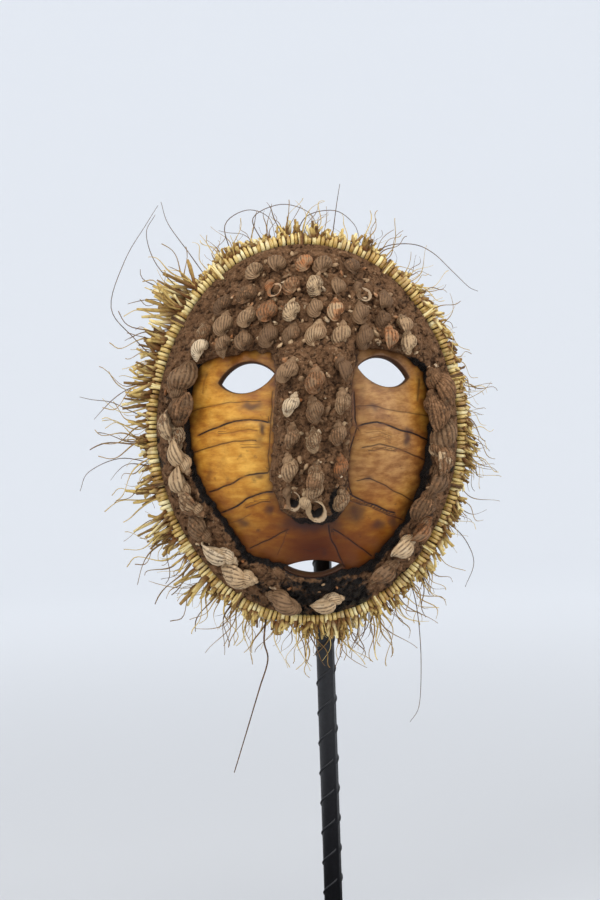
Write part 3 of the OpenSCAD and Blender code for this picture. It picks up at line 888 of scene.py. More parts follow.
# %% Crumbs
def crumb_shape(name, seed):
    """A flat, broken lump about 10 mm across, in metres."""
    b = bmesh.new()
    bmesh.ops.create_icosphere(b, subdivisions=2, radius=5)
    for vert in b.verts:
        vert.co *= 1 + 0.55 * noise.noise(vert.co * 0.28 + Vector((seed, 0, 0)))
        vert.co.z *= 0.6
    points = [tuple(x * MM for x in vert.co) for vert in b.verts]
    faces = [[vert.index for vert in f.verts] for f in b.faces]
    b.free()
    return new_piece(name, points, faces, world=True)


def crumb_spots(count, inside, half_w, half_h, tar, seed):
    """Strews crumbs over a part of the mastic, larger ones between the snails."""
    rng = np.random.default_rng(seed)
    u, v = rng.uniform(-half_w, half_w, count), rng.uniform(-half_h, half_h, count)
    keep = (inside(u, v) < -1.2) & (tar(u, v) < 0.35)
    u, v = u[keep], v[keep]
    near = np.min(np.hypot(u[:, None] - ALL_SNAILS[:, 0], v[:, None] - ALL_SNAILS[:, 1]), 1)
    spots = []
    for x, y, h, gap, black in zip(u, v, mastic_height(u, v), soft(near, 4.0, 8.5), tar(u, v)):
        width = rng.uniform(0.10, 0.24) + 0.26 * gap * rng.uniform(0.2, 1.0) ** 2
        at, axes = shell_frame(x, y, rng.uniform(0, 360), h + 0.6 * width)
        tilt = Euler((rng.normal(0, 0.3), rng.normal(0, 0.3), 0)).to_matrix()
        size = (width, width * rng.uniform(0.5, 1.0), width * rng.uniform(0.6, 1.2))
        spots.append(spot(at, UPRIGHT @ axes @ tilt, size, int(rng.integers(5)),
                          tar=float(black), crevice=0.0))
    return spots


# from the mask's own axes (across, up, forward) to the frame's
UPRIGHT = Matrix(((1, 0, 0), (0, 0, -1), (0, 1, 0)))
crumb_shapes = shape_box("crumb shapes", [crumb_shape(f"crumb_{k}", 7.3 * k) for k in range(5)])
bed_crumbs = set_on_points("bed_crumbs", crumb_spots(3400, bed_inside, 98, 121, bed_tar, 5),
                           crumb_shapes, mastic)
ridge_crumbs = set_on_points("ridge_crumbs", crumb_spots(1100, ridge_inside, 32, 60, nose_tar, 6),
                             crumb_shapes, mastic)
fit(joined("mastic_bed_crust", [bed, bed_crumbs]), "mastic", "mask", "mastic_bed")
fit(joined("nose_ridge_crust", [ridge, ridge_crumbs]), "mastic", "mask", "nose_ridge")

# %% [markdown]
# ## Snail shells
#
# A snail builds its shell as a tube that widens as it winds, so that's how each one is made here.
# Fine ribs cross the tube, and the grooves are coloured dark, as earth rubbed in and as painted shade. Five
# kinds are enough, because every copy lies at its own slant. Four lie with the mouth down in the mastic, and
# one with it open.

# %% Snail shapes
def snail_shape(name, ribs, growth, spire, seed, open_mouth=False):
    """A snail 20 mm long whose tip points along +Y and whose mouth faces -Z, in metres."""
    per_turn, around, turns = ribs * 3, 12, 2.7
    rings = [(k / per_turn - turns, 1.0) for k in range(int(turns * per_turn) + 1)]
    if open_mouth:
        rings += [(0.012, 1.03), (0.010, 0.93), (-0.02, 0.84)]
        rings += [(-0.06, 0.78), (-0.12, 0.74), (-0.2, 0.68), (-0.26, 0.4)]
    points, groove, lip = [], [], []
    for number, (turn, wide) in enumerate(rings):
        s, angle = growth ** turn, 2 * math.pi * turn
        dark = number % 3 == 0 and wide == 1.0
        for i in range(around):
            a = 2 * math.pi * i / around
            rough = noise.noise(Vector((math.cos(a), math.sin(a), turn * 5 + seed)))
            swell = wide * (0.93 if dark else 1.03) * (1 + 0.05 * rough)
            reach = s * (2.4 + 4.7 * swell * math.cos(a))
            along = s * (6.1 * swell * math.sin(a) - spire) + 0.5 * (spire + 6.1)
            points.append((-reach * math.cos(angle), along, -reach * math.sin(angle)))
            # groove: the rings of the ribs' grooves and the rings inside the open mouth, which the finish
            # darkens
            groove.append(1.0 if dark or wide < 0.8 else 0.0)
            lip.append(0.0 if wide == 1.0 else 1.0 if wide > 0.8 else -1.0)
    piece = new_piece(name, np.array(points) * MM, tube_faces(len(rings), around), world=True,
                      marks={"groove": groove, "lip": lip})
    outward_faces(piece)
    return piece


snail_shapes = shape_box("snail shapes", [
    snail_shape("snail_a", 20, 2.0, 13.8, 0.0), snail_shape("snail_b", 17, 2.15, 13.2, 3.0),
    snail_shape("snail_c", 23, 1.85, 14.4, 6.0), snail_shape("snail_d", 19, 2.05, 13.6, 9.0),
    snail_shape("snail_open", 22, 2.9, 12.6, 12.0, open_mouth=True)])
OPEN_KIND = 4

shell_lime = Finish("ribbed snail shell", Specular_IOR_Level=0.2)
LIME_MARKS = ("groove", "tone", "buried", "lip", "warm")
groove, tone, buried, lip, warm = (shell_lime.attribute(k) for k in LIME_MARKS)
groove = groove * (0.3 + shell_lime.noise(3.5, 3.0).between(0.38, 0.56) * 0.7)
speck = shell_lime.noise(1.3, 6.0, 0.75)
patchy = shell_lime.noise(5.5, 5.0, 0.65)
lime = shell_lime.ramp(tone * 0.55 + patchy * 0.45,
                       (0.28, (0.15, 0.080, 0.038)), (0.45, (0.31, 0.185, 0.095)),
                       (0.6, (0.53, 0.36, 0.20)), (0.85, (0.82, 0.68, 0.48)))
lime = shell_lime.mix(warm * patchy.between(0.4, 0.6), lime, (0.42, 0.16, 0.055))
# darker grooves: earth rubbed in, and painted shade; inside the open mouth, painted shade
lime = shell_lime.mix(groove.between(0.08, 0.7) * (0.35 + speck * 0.6), lime, (0.050, 0.025, 0.013))
lime = shell_lime.mix(lip.between(0.1, 0.9) * 0.55, lime, (0.60, 0.44, 0.28))
soil = shell_lime.ramp(patchy * 0.4 + speck * 0.6, (0.38, (0.065, 0.030, 0.012)), (0.5, (0.19, 0.094, 0.042)),
                       (0.62, (0.32, 0.175, 0.088)), (0.75, (0.52, 0.34, 0.195)))
# the crust is darker in the grooves too, as painted shade
soil = shell_lime.mix(groove.between(0.08, 0.7) * 0.55, soil, (0.026, 0.013, 0.007))
# painted shade in small pits of the crust
painted_pit_shade = 1.0 - shell_lime.noise(2.4, 5.0, 0.7).between(0.34, 0.46)
soil = shell_lime.mix(painted_pit_shade * 0.55, soil, (0.028, 0.014, 0.007))
covered = (buried + (patchy - 0.5) * 1.9 + (speck - 0.5) * 1.1).between(0.36, 0.62)
covered = covered * (1.0 - lip.math("ABSOLUTE") * 0.85)
# painted shade: the inside of the open mouth is coloured near black
painted_throat_shade = (0.0 - lip).between(0.2, 0.9)
crusted = shell_lime.mix(covered, lime, soil)
shell_lime.set("Base_Color", shell_lime.mix(painted_throat_shade, crusted, (0.010, 0.006, 0.004)))
shell_lime.set("Roughness", 0.55 + covered * 0.35)
shell_lime.bump(speck * 0.6 + patchy * 0.5 + covered * 0.5, 0.9)


def snail_spots(places, buried, pale, stand, seed, opened=()):
    """Sets each snail on the mastic at its own slant, mouth down. The opened ones lie mouth up."""
    rng = np.random.default_rng(seed)
    spots = []
    for number, (u, v, slant, size) in enumerate(places):
        u, v = u + rng.uniform(-1.3, 1.3), v + rng.uniform(-1.3, 1.3)
        seat = float(seat_height(np.array([u]), np.array([v]))[0])
        at, axes = shell_frame(u, v, slant + rng.uniform(-9, 9), seat + stand + rng.uniform(-0.7, 0.6))
        over = 170 if number in opened else rng.uniform(-50, 50)
        tip = Matrix.Rotation(math.radians(rng.uniform(-14, 6)), 3, "X")
        tip = tip @ Matrix.Rotation(math.radians(over), 3, "Y")
        s = size * rng.uniform(0.98, 1.12)
        kind = OPEN_KIND if number in opened else int(rng.integers(OPEN_KIND))
        tone, warm = float(np.clip(pale + rng.normal(0, 0.22), 0, 1)), float(rng.uniform() < 0.22)
        sunk = 0.15 if number in opened else float(np.clip(buried + rng.normal(0, 0.16), 0, 1))
        spots.append(spot(at, UPRIGHT @ axes @ tip, (s, s, s), kind, tone=tone, warm=warm, buried=sunk))
    return spots


def chip_spots(places, each, seed):
    """Broken chips of shell that lie about each snail."""
    rng = np.random.default_rng(seed)
    spots = []
    for u0, v0, _, size in places:
        for _ in range(each):
            way, out = rng.uniform(0, 2 * math.pi), rng.uniform(5.5, 9.5) * size
            u, v = u0 + out * math.cos(way), v0 + out * math.sin(way)
            if rim_edge(u, v, -6) > 0 or max(bare(u, v), -nose_edge(u, v)) < 2:
                continue
            h = float(mastic_height(np.array([u]), np.array([v]))[0])
            at, axes = shell_frame(u, v, rng.uniform(0, 360), h + 0.5)
            width = rng.uniform(0.2, 0.55)
            tilt = Euler((rng.normal(0, 0.5), rng.normal(0, 0.5), 0)).to_matrix()
            chip = (width, width * 0.6, width * 0.6)
            spots.append(spot(at, UPRIGHT @ axes @ tilt, chip, int(rng.integers(5)),
                              groove=0.0, lip=0.0, tone=float(rng.uniform(0.1, 0.9)),
                              warm=float(rng.uniform() < 0.2), buried=float(rng.uniform(0.0, 0.5))))
    return spots


# node, how far it is crusted, how pale, how far it stands out, and which ones lie mouth up
for k, (node, buried, pale, stand, opened) in enumerate([
        ("forehead_snails_upper", 0.42, 0.35, 3.2, (7, 11)), ("forehead_snails_lower", 0.30, 0.42, 3.9, ()),
        ("nose_snails", 0.32, 0.42, 3.8, (12,)), ("left_cheek_snails", 0.34, 0.45, 3.4, ()),
        ("right_cheek_snails", 0.38, 0.45, 3.4, ()), ("chin_snails", 0.12, 0.6, 3.4, ())]):
    name = node.replace("snails", "snail_shells")
    spots = snail_spots(SNAILS[node], buried, pale, stand, 10 + k, opened)
    chips = set_on_points("chips", chip_spots(SNAILS[node], 4, 30 + k), crumb_shapes, shell_lime)
    shells = set_on_points("shells", spots, snail_shapes, shell_lime)
    fit(joined(name, [shells, chips]), "snail", "mask", node)

# %% [markdown]
# ## The snail at the nose's tip
#
# The last snail was pressed in on its back, so its open mouth faces forwards under the tip.
# It is the same wound tube with a lip turned inwards.

# %% Nose tip snail
at, axes = shell_frame(NOSE_TIP[0] - 4.4, NOSE_TIP[1] - 10.6, 12, 18.0)
on_its_back = Matrix.Rotation(math.radians(168), 3, "Y")
world = UPRIGHT @ axes @ on_its_back @ Matrix.Rotation(math.radians(-12), 3, "X")
tip_spot = spot(at, world, (1.32, 1.32, 1.32), OPEN_KIND, tone=0.62, warm=0.0, buried=0.12)
tip_snail = set_on_points("nose_tip_snail_shell", [tip_spot], snail_shapes, shell_lime)
fit(tip_snail, "snail", "mask", "nose_tip_snail")

# %% [markdown]
# ## The rim's core and binding
#
# A bundle of fibre runs round the mask, bound with about 250 turns of split cane.
# The binding follows a path, so Geometry Nodes make it: a ring is set on the path every
# 2.75 mm, turned to face along it, and leans a little, as a wound strip does.

# %% Binding tree
binder, BINDER, g, given = geometry_tree(
    "cane binding", ("Path", "NodeSocketGeometry"), ("Pitch", "NodeSocketFloat"),
    ("Ring radius", "NodeSocketFloat"), ("Cane radius", "NodeSocketFloat"),
    ("Lean", "NodeSocketFloat"), ("Seed", "NodeSocketInt"), ("Finish", "NodeSocketMaterial"))
path = g.add("GeometryNodeMeshToCurve", {0: given["Path"]})[0]
spaced = g.add("GeometryNodeResampleCurve", {"Curve": path, "Length": given["Pitch"]}, mode="LENGTH")[0]
circle_of = lambda around, radius: g.add("GeometryNodeCurvePrimitiveCircle",
                                         {"Resolution": around, "Radius": radius}, mode="RADIUS")[0]
circle = circle_of(22, given["Ring radius"])
strip = circle_of(8, given["Cane radius"])
ring = g.add("GeometryNodeCurveToMesh", {"Curve": circle, "Profile Curve": strip})[0]
chance = lambda low, high, shift: g.add("FunctionNodeRandomValue",
                                        {2: low, 3: high, "Seed": given["Seed"] + shift},
                                        data_type="FLOAT")[1]
ahead = g.add("GeometryNodeInputTangent")[0]
facing = g.add("FunctionNodeAlignRotationToVector", {"Vector": ahead}, axis="Z")[0]
ring_size = g.add("ShaderNodeCombineXYZ", {0: chance(0.96, 1.06, 1), 1: chance(0.96, 1.06, 2),
                                           2: chance(0.95, 1.25, 3)})[0]
turns = g.add("GeometryNodeInstanceOnPoints", {
    "Points": spaced, "Instance": ring, "Rotation": facing, "Scale": ring_size})[0]
lean = g.add("ShaderNodeCombineXYZ", {0: given["Lean"] + chance(-0.07, 0.07, 4),
                                      1: chance(-0.07, 0.07, 5)})[0]
leaning = g.add("GeometryNodeRotateInstances", {
    "Instances": turns, "Rotation": g.add("FunctionNodeEulerToRotation", {0: lean})[0]})[0]
toned = g.add("GeometryNodeStoreNamedAttribute",
              {"Geometry": leaning, "Name": "tone", "Value": chance(0.0, 1.0, 6)},
              data_type="FLOAT", domain="INSTANCE")[0]
real = g.add("GeometryNodeRealizeInstances", {0: toned})[0]
smooth = g.add("GeometryNodeSetShadeSmooth", {0: real})[0]
covered_in = g.add("GeometryNodeSetMaterial", {"Geometry": smooth, "Material": given["Finish"]})[0]
g.add("NodeGroupOutput", {0: covered_in})

cane = Finish("split cane", Coat_Weight=0.25, Coat_Roughness=0.18)
tone = cane.attribute("tone")
streak = cane.noise(3.5, 4.0, 0.6)
gold = cane.ramp(tone * 0.45 + streak * 0.55, (0.25, (0.30, 0.15, 0.032)), (0.42, (0.58, 0.37, 0.095)),
                 (0.58, (0.80, 0.61, 0.23)), (0.78, (0.92, 0.80, 0.45)))
worn = cane.noise(16, 4.0, 0.6).between(0.50, 0.66)
cane.set("Base_Color", cane.mix(worn * 0.6, gold, (0.27, 0.12, 0.035)))
cane.set("Roughness", 0.3 + streak * 0.25)
cane.bump(cane.noise(0.8, 4.0, 0.6), 0.15)


ARCS = ("top", "left", "bottom", "right")


def rim_arc(i):
    """Centre, radius and half the sweep, in degrees, of one of the rim's four arcs."""
    centre = [(0, RIM_END_C), (RIM_SIDE_C, 0), (0, -RIM_END_C), (-RIM_SIDE_C, 0)][i]
    return (centre, RIM_END_R, 90 - RIM_JOIN) if i % 2 == 0 else (centre, RIM_SIDE_R, RIM_JOIN)


def arc_path(i, steps=60):
    """Points along one of the rim's four arcs."""
    centre, radius, half = rim_arc(i)
    turns = [math.radians(90 + 90 * i + half * (2 * k / steps - 1)) for k in range(steps + 1)]
    return np.array([(centre[0] + radius * math.cos(t), centre[1] + radius * math.sin(t),
                      0.25 * vary(7 * k + i)) for k, t in enumerate(turns)])


for i, side in enumerate(ARCS):
    p = arc_path(i)
    mesh = bpy.data.meshes.new(f"binding_{side}")
    mesh.from_pydata([tuple(q) for q in placed(p)], [(k, k + 1) for k in range(len(p) - 1)], [])
    wrap = bpy.data.objects.new(f"cane_binding_{side}", mesh)
    bpy.context.collection.objects.link(wrap)
    bake(wrap, binder, BINDER, {"Pitch": 2.75 * MM, "Ring radius": 3.35 * MM, "Cane radius": 1.12 * MM,
                                "Lean": 0.07, "Seed": 5 * i, "Finish": cane.material})
    fit(wrap, "cane", "mask", f"rim_binding_{side}")

# %% [markdown]
# ## Core, hoop and lashings
#
# The core shows as brown fibre between the turns. Inside the shell a cane hoop takes the pull of the
# lashings, which pass through drilled holes. All are tubes along a path.

# %% Tubes
def tube(name, paths, radius, finish, around=10, ring=False, rough=0.0):
    """Tubes along paths of points in millimetres. A radius may vary along the path."""
    points, faces, tones = [], [], []
    for number, path in enumerate(paths):
        p = np.asarray(path, float)
        count = len(p)
        ahead = np.roll(p, -1, 0) - np.roll(p, 1, 0)
        if not ring:
            ahead[0], ahead[-1] = p[1] - p[0], p[-1] - p[-2]
        ahead /= np.linalg.norm(ahead, axis=1)[:, None]
        side = np.cross(ahead, [0.13, 0.07, 0.99])
        side /= np.linalg.norm(side, axis=1)[:, None]
        up = np.cross(side, ahead)
        r = np.broadcast_to(radius, (count,))
        start = len(points)
        for k in range(count):
            for i in range(around):
                a = 2 * math.pi * i / around
                w = r[k] * (1 + rough * noise.noise(Vector((k * 0.7, i * 1.3, number * 3.7))))
                points.append(p[k] + w * (math.cos(a) * side[k] + math.sin(a) * up[k]))
                tones.append(0.5 + 0.5 * vary(number * 3 + 1))
        faces += tube_faces(count, around, start, ring)
    piece = new_piece(name, np.array(points), faces, finish, marks={"tone": tones})
    outward_faces(piece)
    return piece


fibre = Finish("dry plant fibre", Roughness=0.75)
tone = fibre.attribute("tone")
knot = fibre.noise(7, 4.0, 0.6).between(0.55, 0.68)
straw = fibre.ramp(tone * 0.65 + fibre.noise(3, 4.0) * 0.35,
                   (0.2, (0.10, 0.045, 0.014)), (0.42, (0.33, 0.19, 0.045)),
                   (0.58, (0.66, 0.47, 0.15)), (0.82, (0.88, 0.74, 0.38)))
brown_root = (1.0 - fibre.attribute("tip").between(0.1, 0.6)) * fibre.attribute("stub")
fibre.set("Base_Color", fibre.mix((knot * 0.55).larger(brown_root * 0.85), straw, (0.17, 0.055, 0.011)))
fibre.bump(fibre.noise(0.7, 3.0), 0.12)

brown = Finish("brown fibre core", Roughness=0.85)
brown.set("Base_Color", brown.ramp(brown.noise(2.2, 5.0, 0.6), (0.35, (0.03, 0.014, 0.006)),
                                   (0.6, (0.14, 0.068, 0.024)), (0.8, (0.3, 0.17, 0.06))))
brown.bump(brown.noise(0.8, 4.0), 0.25)

ring_path = lambda out: [(*rim_point(4 * k + 2, out)[0], 0.0) for k in range(90)]
core = tube("rim_core_bundle", [ring_path(0)], 3.0, brown, 14, ring=True, rough=0.12)
fit(core, "fibre", "mask", "rim_core")
hoop = tube("inner_hoop_cane", [ring_path(-18)], 2.5, cane, 14, ring=True, rough=0.05)
fit(hoop, "cane", "mask", "inner_hoop")

LASHING_TURNS = (18, 42, 62, 90, 118, 138, 162, 198, 222, 246, 290, 314, 338)
loops = []
for turn in LASHING_TURNS:
    p, n = rim_point(turn, 0)
    for twist in (-0.9, 0.0, 0.9):
        loop = []
        for k in range(16):
            a = math.radians(22.5 * k)
            end, x0 = (COIL_R, 0.0) if math.cos(a) > 0 else (2.5, -18.0)
            x, z = x0 + (end + 0.95) * math.cos(a), (end + 0.95) * math.sin(a)
            across = Vector((-n.y, n.x)) * twist * (1 + 0.5 * math.sin(a * 2))
            loop.append((p.x + x * n.x + across.x, p.y + x * n.y + across.y, z))
        loops.append(loop)
lashings = tube("rim_lashing_ties", loops, 0.6, fibre, 7, ring=True, rough=0.15)
fit(lashings, "fibre", "mask", "rim_lashings")

# %% [markdown]
# ## Stub ends and hairs
#
# The cut ends of the bundle stick out all round: thick and long on the left, short on top,
# and combed downwards on the right. Finer hairs curl out between them.
# The shapes are a few bent stubs and curls, set on points by the same tree.

# %% Fringe shapes
def strand_shape(name, length, radius, bend, curl, around, rows, seed, taper=0.5):
    """A strand along +X that bends and curls, in metres."""
    rng = np.random.default_rng(seed)
    t = np.linspace(0, 1, rows)
    bow, way = rng.uniform(0.4, 1.0), rng.uniform(0, 2 * math.pi)
    sag = bend * length * bow * t ** 2
    y = sag * math.cos(way) + curl * length * np.sin(t * rng.uniform(3, 8) + rng.uniform(0, 6)) * t
    z = sag * math.sin(way) + curl * length * np.cos(t * rng.uniform(3, 8) + rng.uniform(0, 6)) * t
    x = length * t * (1 - 0.25 * bend * t)
    p = np.stack([x, y - y[0], z - z[0]], -1)
    thick = radius * (1 - taper * t) * (1 + 0.22 * np.sin(t * 9 + seed))
    points, tips = [], []
    for k in range(rows):
        for i in range(around):
            a = 2 * math.pi * i / around
            points.append(p[k] + thick[k] * np.array([0, math.cos(a), math.sin(a)]))
            tips.append(k / (rows - 1))
    piece = new_piece(name, np.array(points) * MM, tube_faces(rows, around), world=True, marks={"tip": tips})
    outward_faces(piece)
    return piece


stub_shapes = shape_box("stub shapes", [
    strand_shape(f"stub_{k}", 10, 1.2, 0.22, 0.03, 6, 5, 30 + k, 0.3) for k in range(6)])
hair_shapes = shape_box("hair shapes", [
    strand_shape(f"hair_{k}", 10, 0.17, 0.55, 0.12, 3, 14, 60 + k, 0.5) for k in range(10)])

# for each side: how long the stubs are, how much they droop, their number, and how long the hairs are
SIDES = {"top": (9.0, 0.0, 190, 14), "left": (23.0, 0.15, 190, 18),
         "bottom": (11.5, 0.55, 210, 17), "right": (10.0, 1.2, 230, 12)}
# where ends are bunched together, in degrees about the centre of that side's arc
CLUMPS = {"top": (62, 84, 97, 118, 125), "left": (138, 146, 155, 163, 170, 181, 193, 206, 222),
          "bottom": (244, 256, 268, 281, 296), "right": (305, 322, 338, 352, 372, 398)}


def fringe_spots(i, side, hairs):
    """Points round the coil of one arc, each with a direction, a length and a tone."""
    rng = np.random.default_rng(100 + i + 50 * hairs)
    length, droop, count, hair_length = SIDES[side]
    centre, radius, half = rim_arc(i)
    if hairs:
        count = int(count * (0.4 if side == "top" else 0.65))
    spots = []
    for _ in range(count):
        turn = 90 + 90 * i + half * rng.uniform(-1, 1)
        tied = rng.uniform() < (0.5 if side == "left" else 0.3)
        if tied:
            turn = rng.choice(CLUMPS[side]) + rng.normal(0, 1.1)
            turn = float(np.clip(turn, 90 + 90 * i - half, 90 + 90 * i + half))
        a = math.radians(turn)
        out = Vector((math.cos(a), math.sin(a), 0.0))
        along = Vector((-out.y, out.x, 0.0))
        tuck = math.radians(rng.uniform(-75, 75))
        by_post = abs(centre[0] + radius * out.x + MASK_AT[0]) < 16 and i == 2
        if by_post:
            tuck = abs(tuck)
        root = Vector((centre[0], centre[1], 0)) + out * (radius + (COIL_R - 0.8) * math.cos(tuck))
        root += Vector((0, 0, (COIL_R - 0.8) * math.sin(tuck)))
        way = out + Vector((0, 0, 1)) * (0.45 * math.sin(tuck) + rng.normal(0, 0.12))
        way += along * rng.normal(0, 0.28)
        way += Vector((0, -1, 0)) * droop * rng.uniform(0.3, 1.3)
        if by_post:
            way.z = abs(way.z) + 0.25
        way.normalize()
        swell = 0.75 + 0.45 * math.sin(9 * a + i) * math.sin(4 * a + 1)
        reach = length * rng.uniform(0.45, 1.15) * swell
        if hairs:
            reach = hair_length * rng.uniform(0.6, 2.3)
        world_way = Vector((way.x, -way.z, way.y))
        spin = Matrix.Rotation(rng.uniform(0, 2 * math.pi), 3, "X")
        thick = rng.uniform(0.7, 1.25)
        size = (reach / 10, reach / 10, reach / 10) if hairs else (reach / 10, thick, thick)
        kind = int(rng.integers(10 if hairs else 6))
        tone = float(rng.uniform(0.1, 1.0)) * (0.7 if tied or hairs else 1.0)
        spots.append(spot(root, world_way.to_track_quat("X", "Z").to_matrix() @ spin, size, kind,
                          tone=tone, stub=float(not hairs)))
    return spots


for i, side in enumerate(ARCS):
    stubs = set_on_points(f"stubs_{side}", fringe_spots(i, side, False), stub_shapes, fibre)
    hairs = set_on_points(f"hairs_{side}", fringe_spots(i, side, True), hair_shapes, fibre)
    fit(joined(f"fringe_ends_{side}", [stubs, hairs]), "fibre", "mask", f"fringe_{side}")

# %% Loose strands
STRANDS = [
    [(-30, -118, 0), (-32, -134, 3), (-30, -146, 5), (-36, -164, 6), (-44, -188, 6), (-52, -212, 4),
     (-54, -218, 3)],
    [(62, -96, 0), (66, -112, 2), (68, -134, 3), (68, -158, 3), (66, -180, 2), (60, -190, 1)],
    [(45, 110, 0), (56, 116, 2), (72, 116, 4), (84, 110, 5), (96, 98, 5), (106, 88, 4), (112, 85, 3)],
    [(-99, 10, 0), (-112, 16, 3), (-124, 22, 4), (-136, 24, 4), (-144, 26, 3)],
    [(-92, 45, 0), (-108, 62, 3), (-122, 82, 4), (-112, 112, 4), (-98, 134, 3), (-90, 146, 2)],
    [(-60, 98, 0), (-72, 116, 3), (-84, 134, 4), (-88, 148, 4)],
    [(20, 121, 0), (22, 134, 2), (24, 146, 3), (26, 156, 3)],
    [(-44, 112, 0), (-48, 132, 3), (-34, 141, 5), (-20, 136, 5), (-16, 122, 3)],
    [(-24, 120, 0), (-30, 136, 3), (-12, 144, 5), (6, 138, 5), (12, 124, 3)],
    [(-4, 121, 0), (4, 136, 3), (22, 139, 5), (34, 130, 5), (38, 118, 3)],
    [(-74, 88, 0), (-92, 108, 3), (-98, 128, 4), (-92, 140, 3)],
    [(-98, -18, 0), (-120, -14, 3), (-140, -22, 4), (-146, -34, 3)],
    [(86, -60, 0), (98, -72, 3), (104, -88, 4), (98, -104, 3)],
]


def eased(path, steps=6):
    """A smooth line through a few places."""
    p = [Vector(q) for q in path]
    p = [2 * p[0] - p[1], *p, 2 * p[-1] - p[-2]]
    line = []
    for a, b, c, d in zip(p, p[1:], p[2:], p[3:]):
        line += [between_points(a, b, c, d, k / steps) for k in range(steps)]
    return [tuple(q) for q in line] + [tuple(p[-2])]


loose = []
for number, strand in enumerate(STRANDS):
    line = eased(strand)
    thick = np.linspace(0.5, 0.22, len(line)) * (1.3 if number == 0 else 0.7)
    loose.append(tube(f"strand_{number}", [line], thick, brown, 5, rough=0.2))
fit(joined("loose_fibre_strands", loose), "fibre", "mask", "loose_strands")

# %% [markdown]
# ## The post
#
# The post is a bar for reinforcing concrete, painted black. Slanting ribs cross its two flanks and a
# straight rib runs between them. The ribs repeat, so the same tree sets them along the bar.

# %% Post
POST_R, RIB_PITCH = 5.9, 19.5
post_low, post_high = (x.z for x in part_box("post"))
paint = Finish("black paint", Specular_IOR_Level=0.35, Coat_Weight=0.05, Coat_Roughness=0.25)
chip = paint.noise(6, 6.0, 0.7).between(0.66, 0.74)
black = paint.mix(paint.noise(2.0, 4.0), (0.006, 0.006, 0.007), (0.018, 0.018, 0.021))
paint.set("Base_Color", paint.mix(chip * 0.5, black, (0.06, 0.03, 0.018)))
paint.set("Roughness", 0.34 + paint.noise(3.0, 4.0) * 0.25)
paint.bump(paint.noise(1.6, 4.0), 0.18)


def rib_shape(name, flip):
    """A crescent rib that climbs across one flank of the bar, in metres, about the bar's axis."""
    rows, points, faces = 22, [], []
    for k in range(rows):
        t = 2 * k / (rows - 1) - 1
        a = math.radians(78 * t) + (math.pi if flip else 0)
        z = 6.5 * t
        rise = 0.85 * math.sqrt(max(1 - t * t, 0.0)) ** 0.8
        for dz, dr in ((-1.3, -0.5), (-0.5, 0.7 * rise), (0.0, rise), (0.5, 0.7 * rise), (1.3, -0.5)):
            r = POST_R + dr
            points.append((r * math.cos(a), r * math.sin(a), z + dz))
        points.append(((POST_R - 1.2) * math.cos(a), (POST_R - 1.2) * math.sin(a), z))
    for k in range(rows - 1):
        for i in range(6):
            j = (i + 1) % 6
            faces.append([k * 6 + i, (k + 1) * 6 + i, (k + 1) * 6 + j, k * 6 + j])
    faces += [list(range(6)), [(rows - 1) * 6 + i for i in reversed(range(6))]]
    piece = new_piece(name, np.array(points) * MM, faces, world=True)
    outward_faces(piece)
    return piece


rib_shapes = shape_box("rib shapes", [rib_shape("rib_near", False), rib_shape("rib_far", True)])
spots, z = [], post_low + 0.018
while z < post_high - 0.008:
    for flip in (0, 1):
        spots.append({"at": (0, 0, z + flip * RIB_PITCH / 2 * MM), "turn": (0, 0, math.radians(40)),
                      "size": (1, 1, 1), "kind": flip})
    z += RIB_PITCH * MM
ribs = set_on_points("post_ribs", spots, rib_shapes, paint)
ribs.data.polygons.foreach_set("use_smooth", [True] * len(ribs.data.polygons))
bar_rows = [(post_low, POST_R), (post_high - 0.0012, POST_R),
            (post_high - 0.0004, POST_R - 0.6), (post_high, POST_R - 1.8)]
points, around = [], 64
for z, r in bar_rows:
    for i in range(around):
        a = 2 * math.pi * i / around
        spine = max(0.0, math.cos(2 * (a - math.radians(130)))) ** 24 * 0.75 * (z < post_high - 0.001)
        points.append(((r + spine) * math.cos(a) * MM, (r + spine) * math.sin(a) * MM, z))
bar = new_piece("post_bar", points, tube_faces(len(bar_rows), around), paint, world=True)
fit(joined("post_ribbed_bar", [bar, ribs]), "black_paint", "stand", "post")

# %% [markdown]
# ## Base, weld and hanger
#
# These are plain steel parts. The plate and the felt under it are rebuilt with soft edges; the
# others keep their CAD shape and get paint or, for the two sleeves, rubber.

# %% Base and hanger
def rounded_plate(name, node, bevel, finish, segments=4):
    """A plate with round corners and soft edges, as large as its CAD node."""
    low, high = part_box(node)
    half, corner, steps = (high.x - low.x) / 2, 0.006, 12
    ring = []
    for q in range(4):
        cx, cy = [(1, 1), (-1, 1), (-1, -1), (1, -1)][q]
        for k in range(steps + 1):
            a = math.radians(90 * q + 90 * k / steps)
            ring.append((cx * (half - corner) + corner * math.cos(a),
                         cy * (half - corner) + corner * math.sin(a)))
    count = len(ring)
    points = [(x, y, z) for z in (low.z, high.z) for x, y in ring]
    faces = [list(reversed(range(count))), [count + i for i in range(count)]]
    faces += [[i, (i + 1) % count, count + (i + 1) % count, count + i] for i in range(count)]
    plate = new_piece(name, points, faces, finish, world=True, smooth=False)
    edge = plate.modifiers.new("soft edge", "BEVEL")
    edge.width, edge.segments = bevel, segments
    edge.limit_method, edge.angle_limit = "ANGLE", math.radians(50)
    plate.data.polygons.foreach_set("use_smooth", [True] * len(plate.data.polygons))
    plate.modifiers.new("even shading", "WEIGHTED_NORMAL")
    return plate


felt = Finish("grey felt", Roughness=0.95, Sheen_Weight=0.3)
felt.set("Base_Color", felt.ramp(felt.noise(1.2, 5.0), (0.3, (0.03, 0.03, 0.033)),
                                 (0.7, (0.08, 0.08, 0.088))))
felt.bump(felt.noise(0.8, 5.0), 0.3)
rubber = Finish("soft black tube", Roughness=0.7)
rubber.set("Base_Color", rubber.ramp(rubber.noise(3.0), (0.3, (0.012, 0.012, 0.012)),
                                     (0.7, (0.03, 0.03, 0.03))))
rubber.bump(rubber.noise(1.0), 0.08)

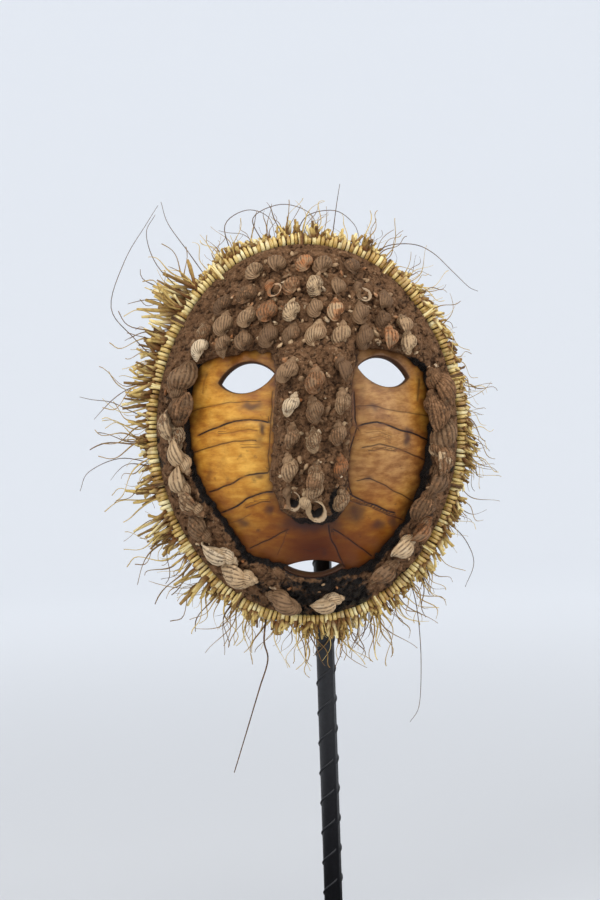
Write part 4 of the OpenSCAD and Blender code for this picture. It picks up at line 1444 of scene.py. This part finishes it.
fit(rounded_plate("base_plate_painted", "base_plate", 0.0012, paint), "black_paint", "stand", "base_plate")
fit(rounded_plate("base_pad_felt", "base_pad", 0.0004, felt, 2), "felt", "stand", "base_pad")
for node, finish in (("post_weld", paint), ("hanger_arm", paint), ("hanger_bar", paint),
                     ("hanger_sleeve_left", rubber), ("hanger_sleeve_right", rubber)):
    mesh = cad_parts[node].data
    mesh.materials.clear()
    mesh.materials.append(finish.material)

# %% [markdown]
# ## Stage and light
#
# The floor curves up into a wall all round, so no horizon shows from any side. The light is soft:
# a large panel on each side in front, one above, and pale air. The paper glows a little towards
# the wall.

# %% Stage
FLAT, BEND = 2.6, 1.4
rows, around = [(0.0, 0.0), (FLAT, 0.0)], 96
rows += [(FLAT + BEND * math.sin(math.radians(t)), BEND - BEND * math.cos(math.radians(t)))
         for t in range(6, 91, 6)]
rows += [(4.0, 4.2)]
points = [(0, 0, 0)] + [(r * math.cos(2 * math.pi * i / around), r * math.sin(2 * math.pi * i / around), z)
                        for r, z in rows[1:] for i in range(around)]
faces = [[0, 1 + i, 1 + (i + 1) % around] for i in range(around)]
for k in range(len(rows) - 2):
    for i in range(around):
        j = (i + 1) % around
        here, above = 1 + k * around, 1 + (k + 1) * around
        faces.append([here + i, above + i, above + j, here + j])
paper = Finish("pale backdrop", Roughness=0.9)
paper.set("Base_Color", (0.57, 0.582, 0.603))
away = paper.add("ShaderNodeVectorMath", {0: paper.place}, operation="LENGTH")["Value"].between(0.1, 2.3)
paper.set("Emission_Color", paper.mix(away, (0.0, 0.0, 0.0), (0.295, 0.312, 0.337)))
paper.set("Emission_Strength", 1.0)
stage = new_piece("backdrop", points, faces, paper, world=True)

world = bpy.data.worlds.new("air")
bpy.context.scene.world = world
world.use_nodes = True
world.node_tree.nodes["Background"].inputs["Color"].default_value = (0.98, 0.99, 1.0, 1.0)
world.node_tree.nodes["Background"].inputs["Strength"].default_value = 0.55


def panel(name, place, aim, size, power, colour=(1, 1, 1)):
    """A soft light panel that the camera doesn't see."""
    light = bpy.data.lights.new(name, "AREA")
    light.shape, light.size, light.size_y, light.energy, light.color = "RECTANGLE", *size, power, colour
    lamp = bpy.data.objects.new(name, light)
    lamp.location = place
    lamp.rotation_mode = "QUATERNION"
    lamp.rotation_quaternion = (Vector(aim) - Vector(place)).to_track_quat("-Z", "Y")
    lamp.visible_camera = False
    bpy.context.collection.objects.link(lamp)


panel("left panel", (-1.25, -1.6, 1.3), (0, 0, 0.34), (1.2, 1.5), 21, (1.0, 0.99, 0.975))
panel("right panel", (1.8, -1.17, 0.9), (0, 0, 0.34), (0.9, 1.4), 17, (1.0, 0.995, 0.985))
panel("top panel", (0.2, -0.5, 2.3), (0, 0, 0.3), (1.8, 1.6), 22, (1.0, 0.99, 0.975))
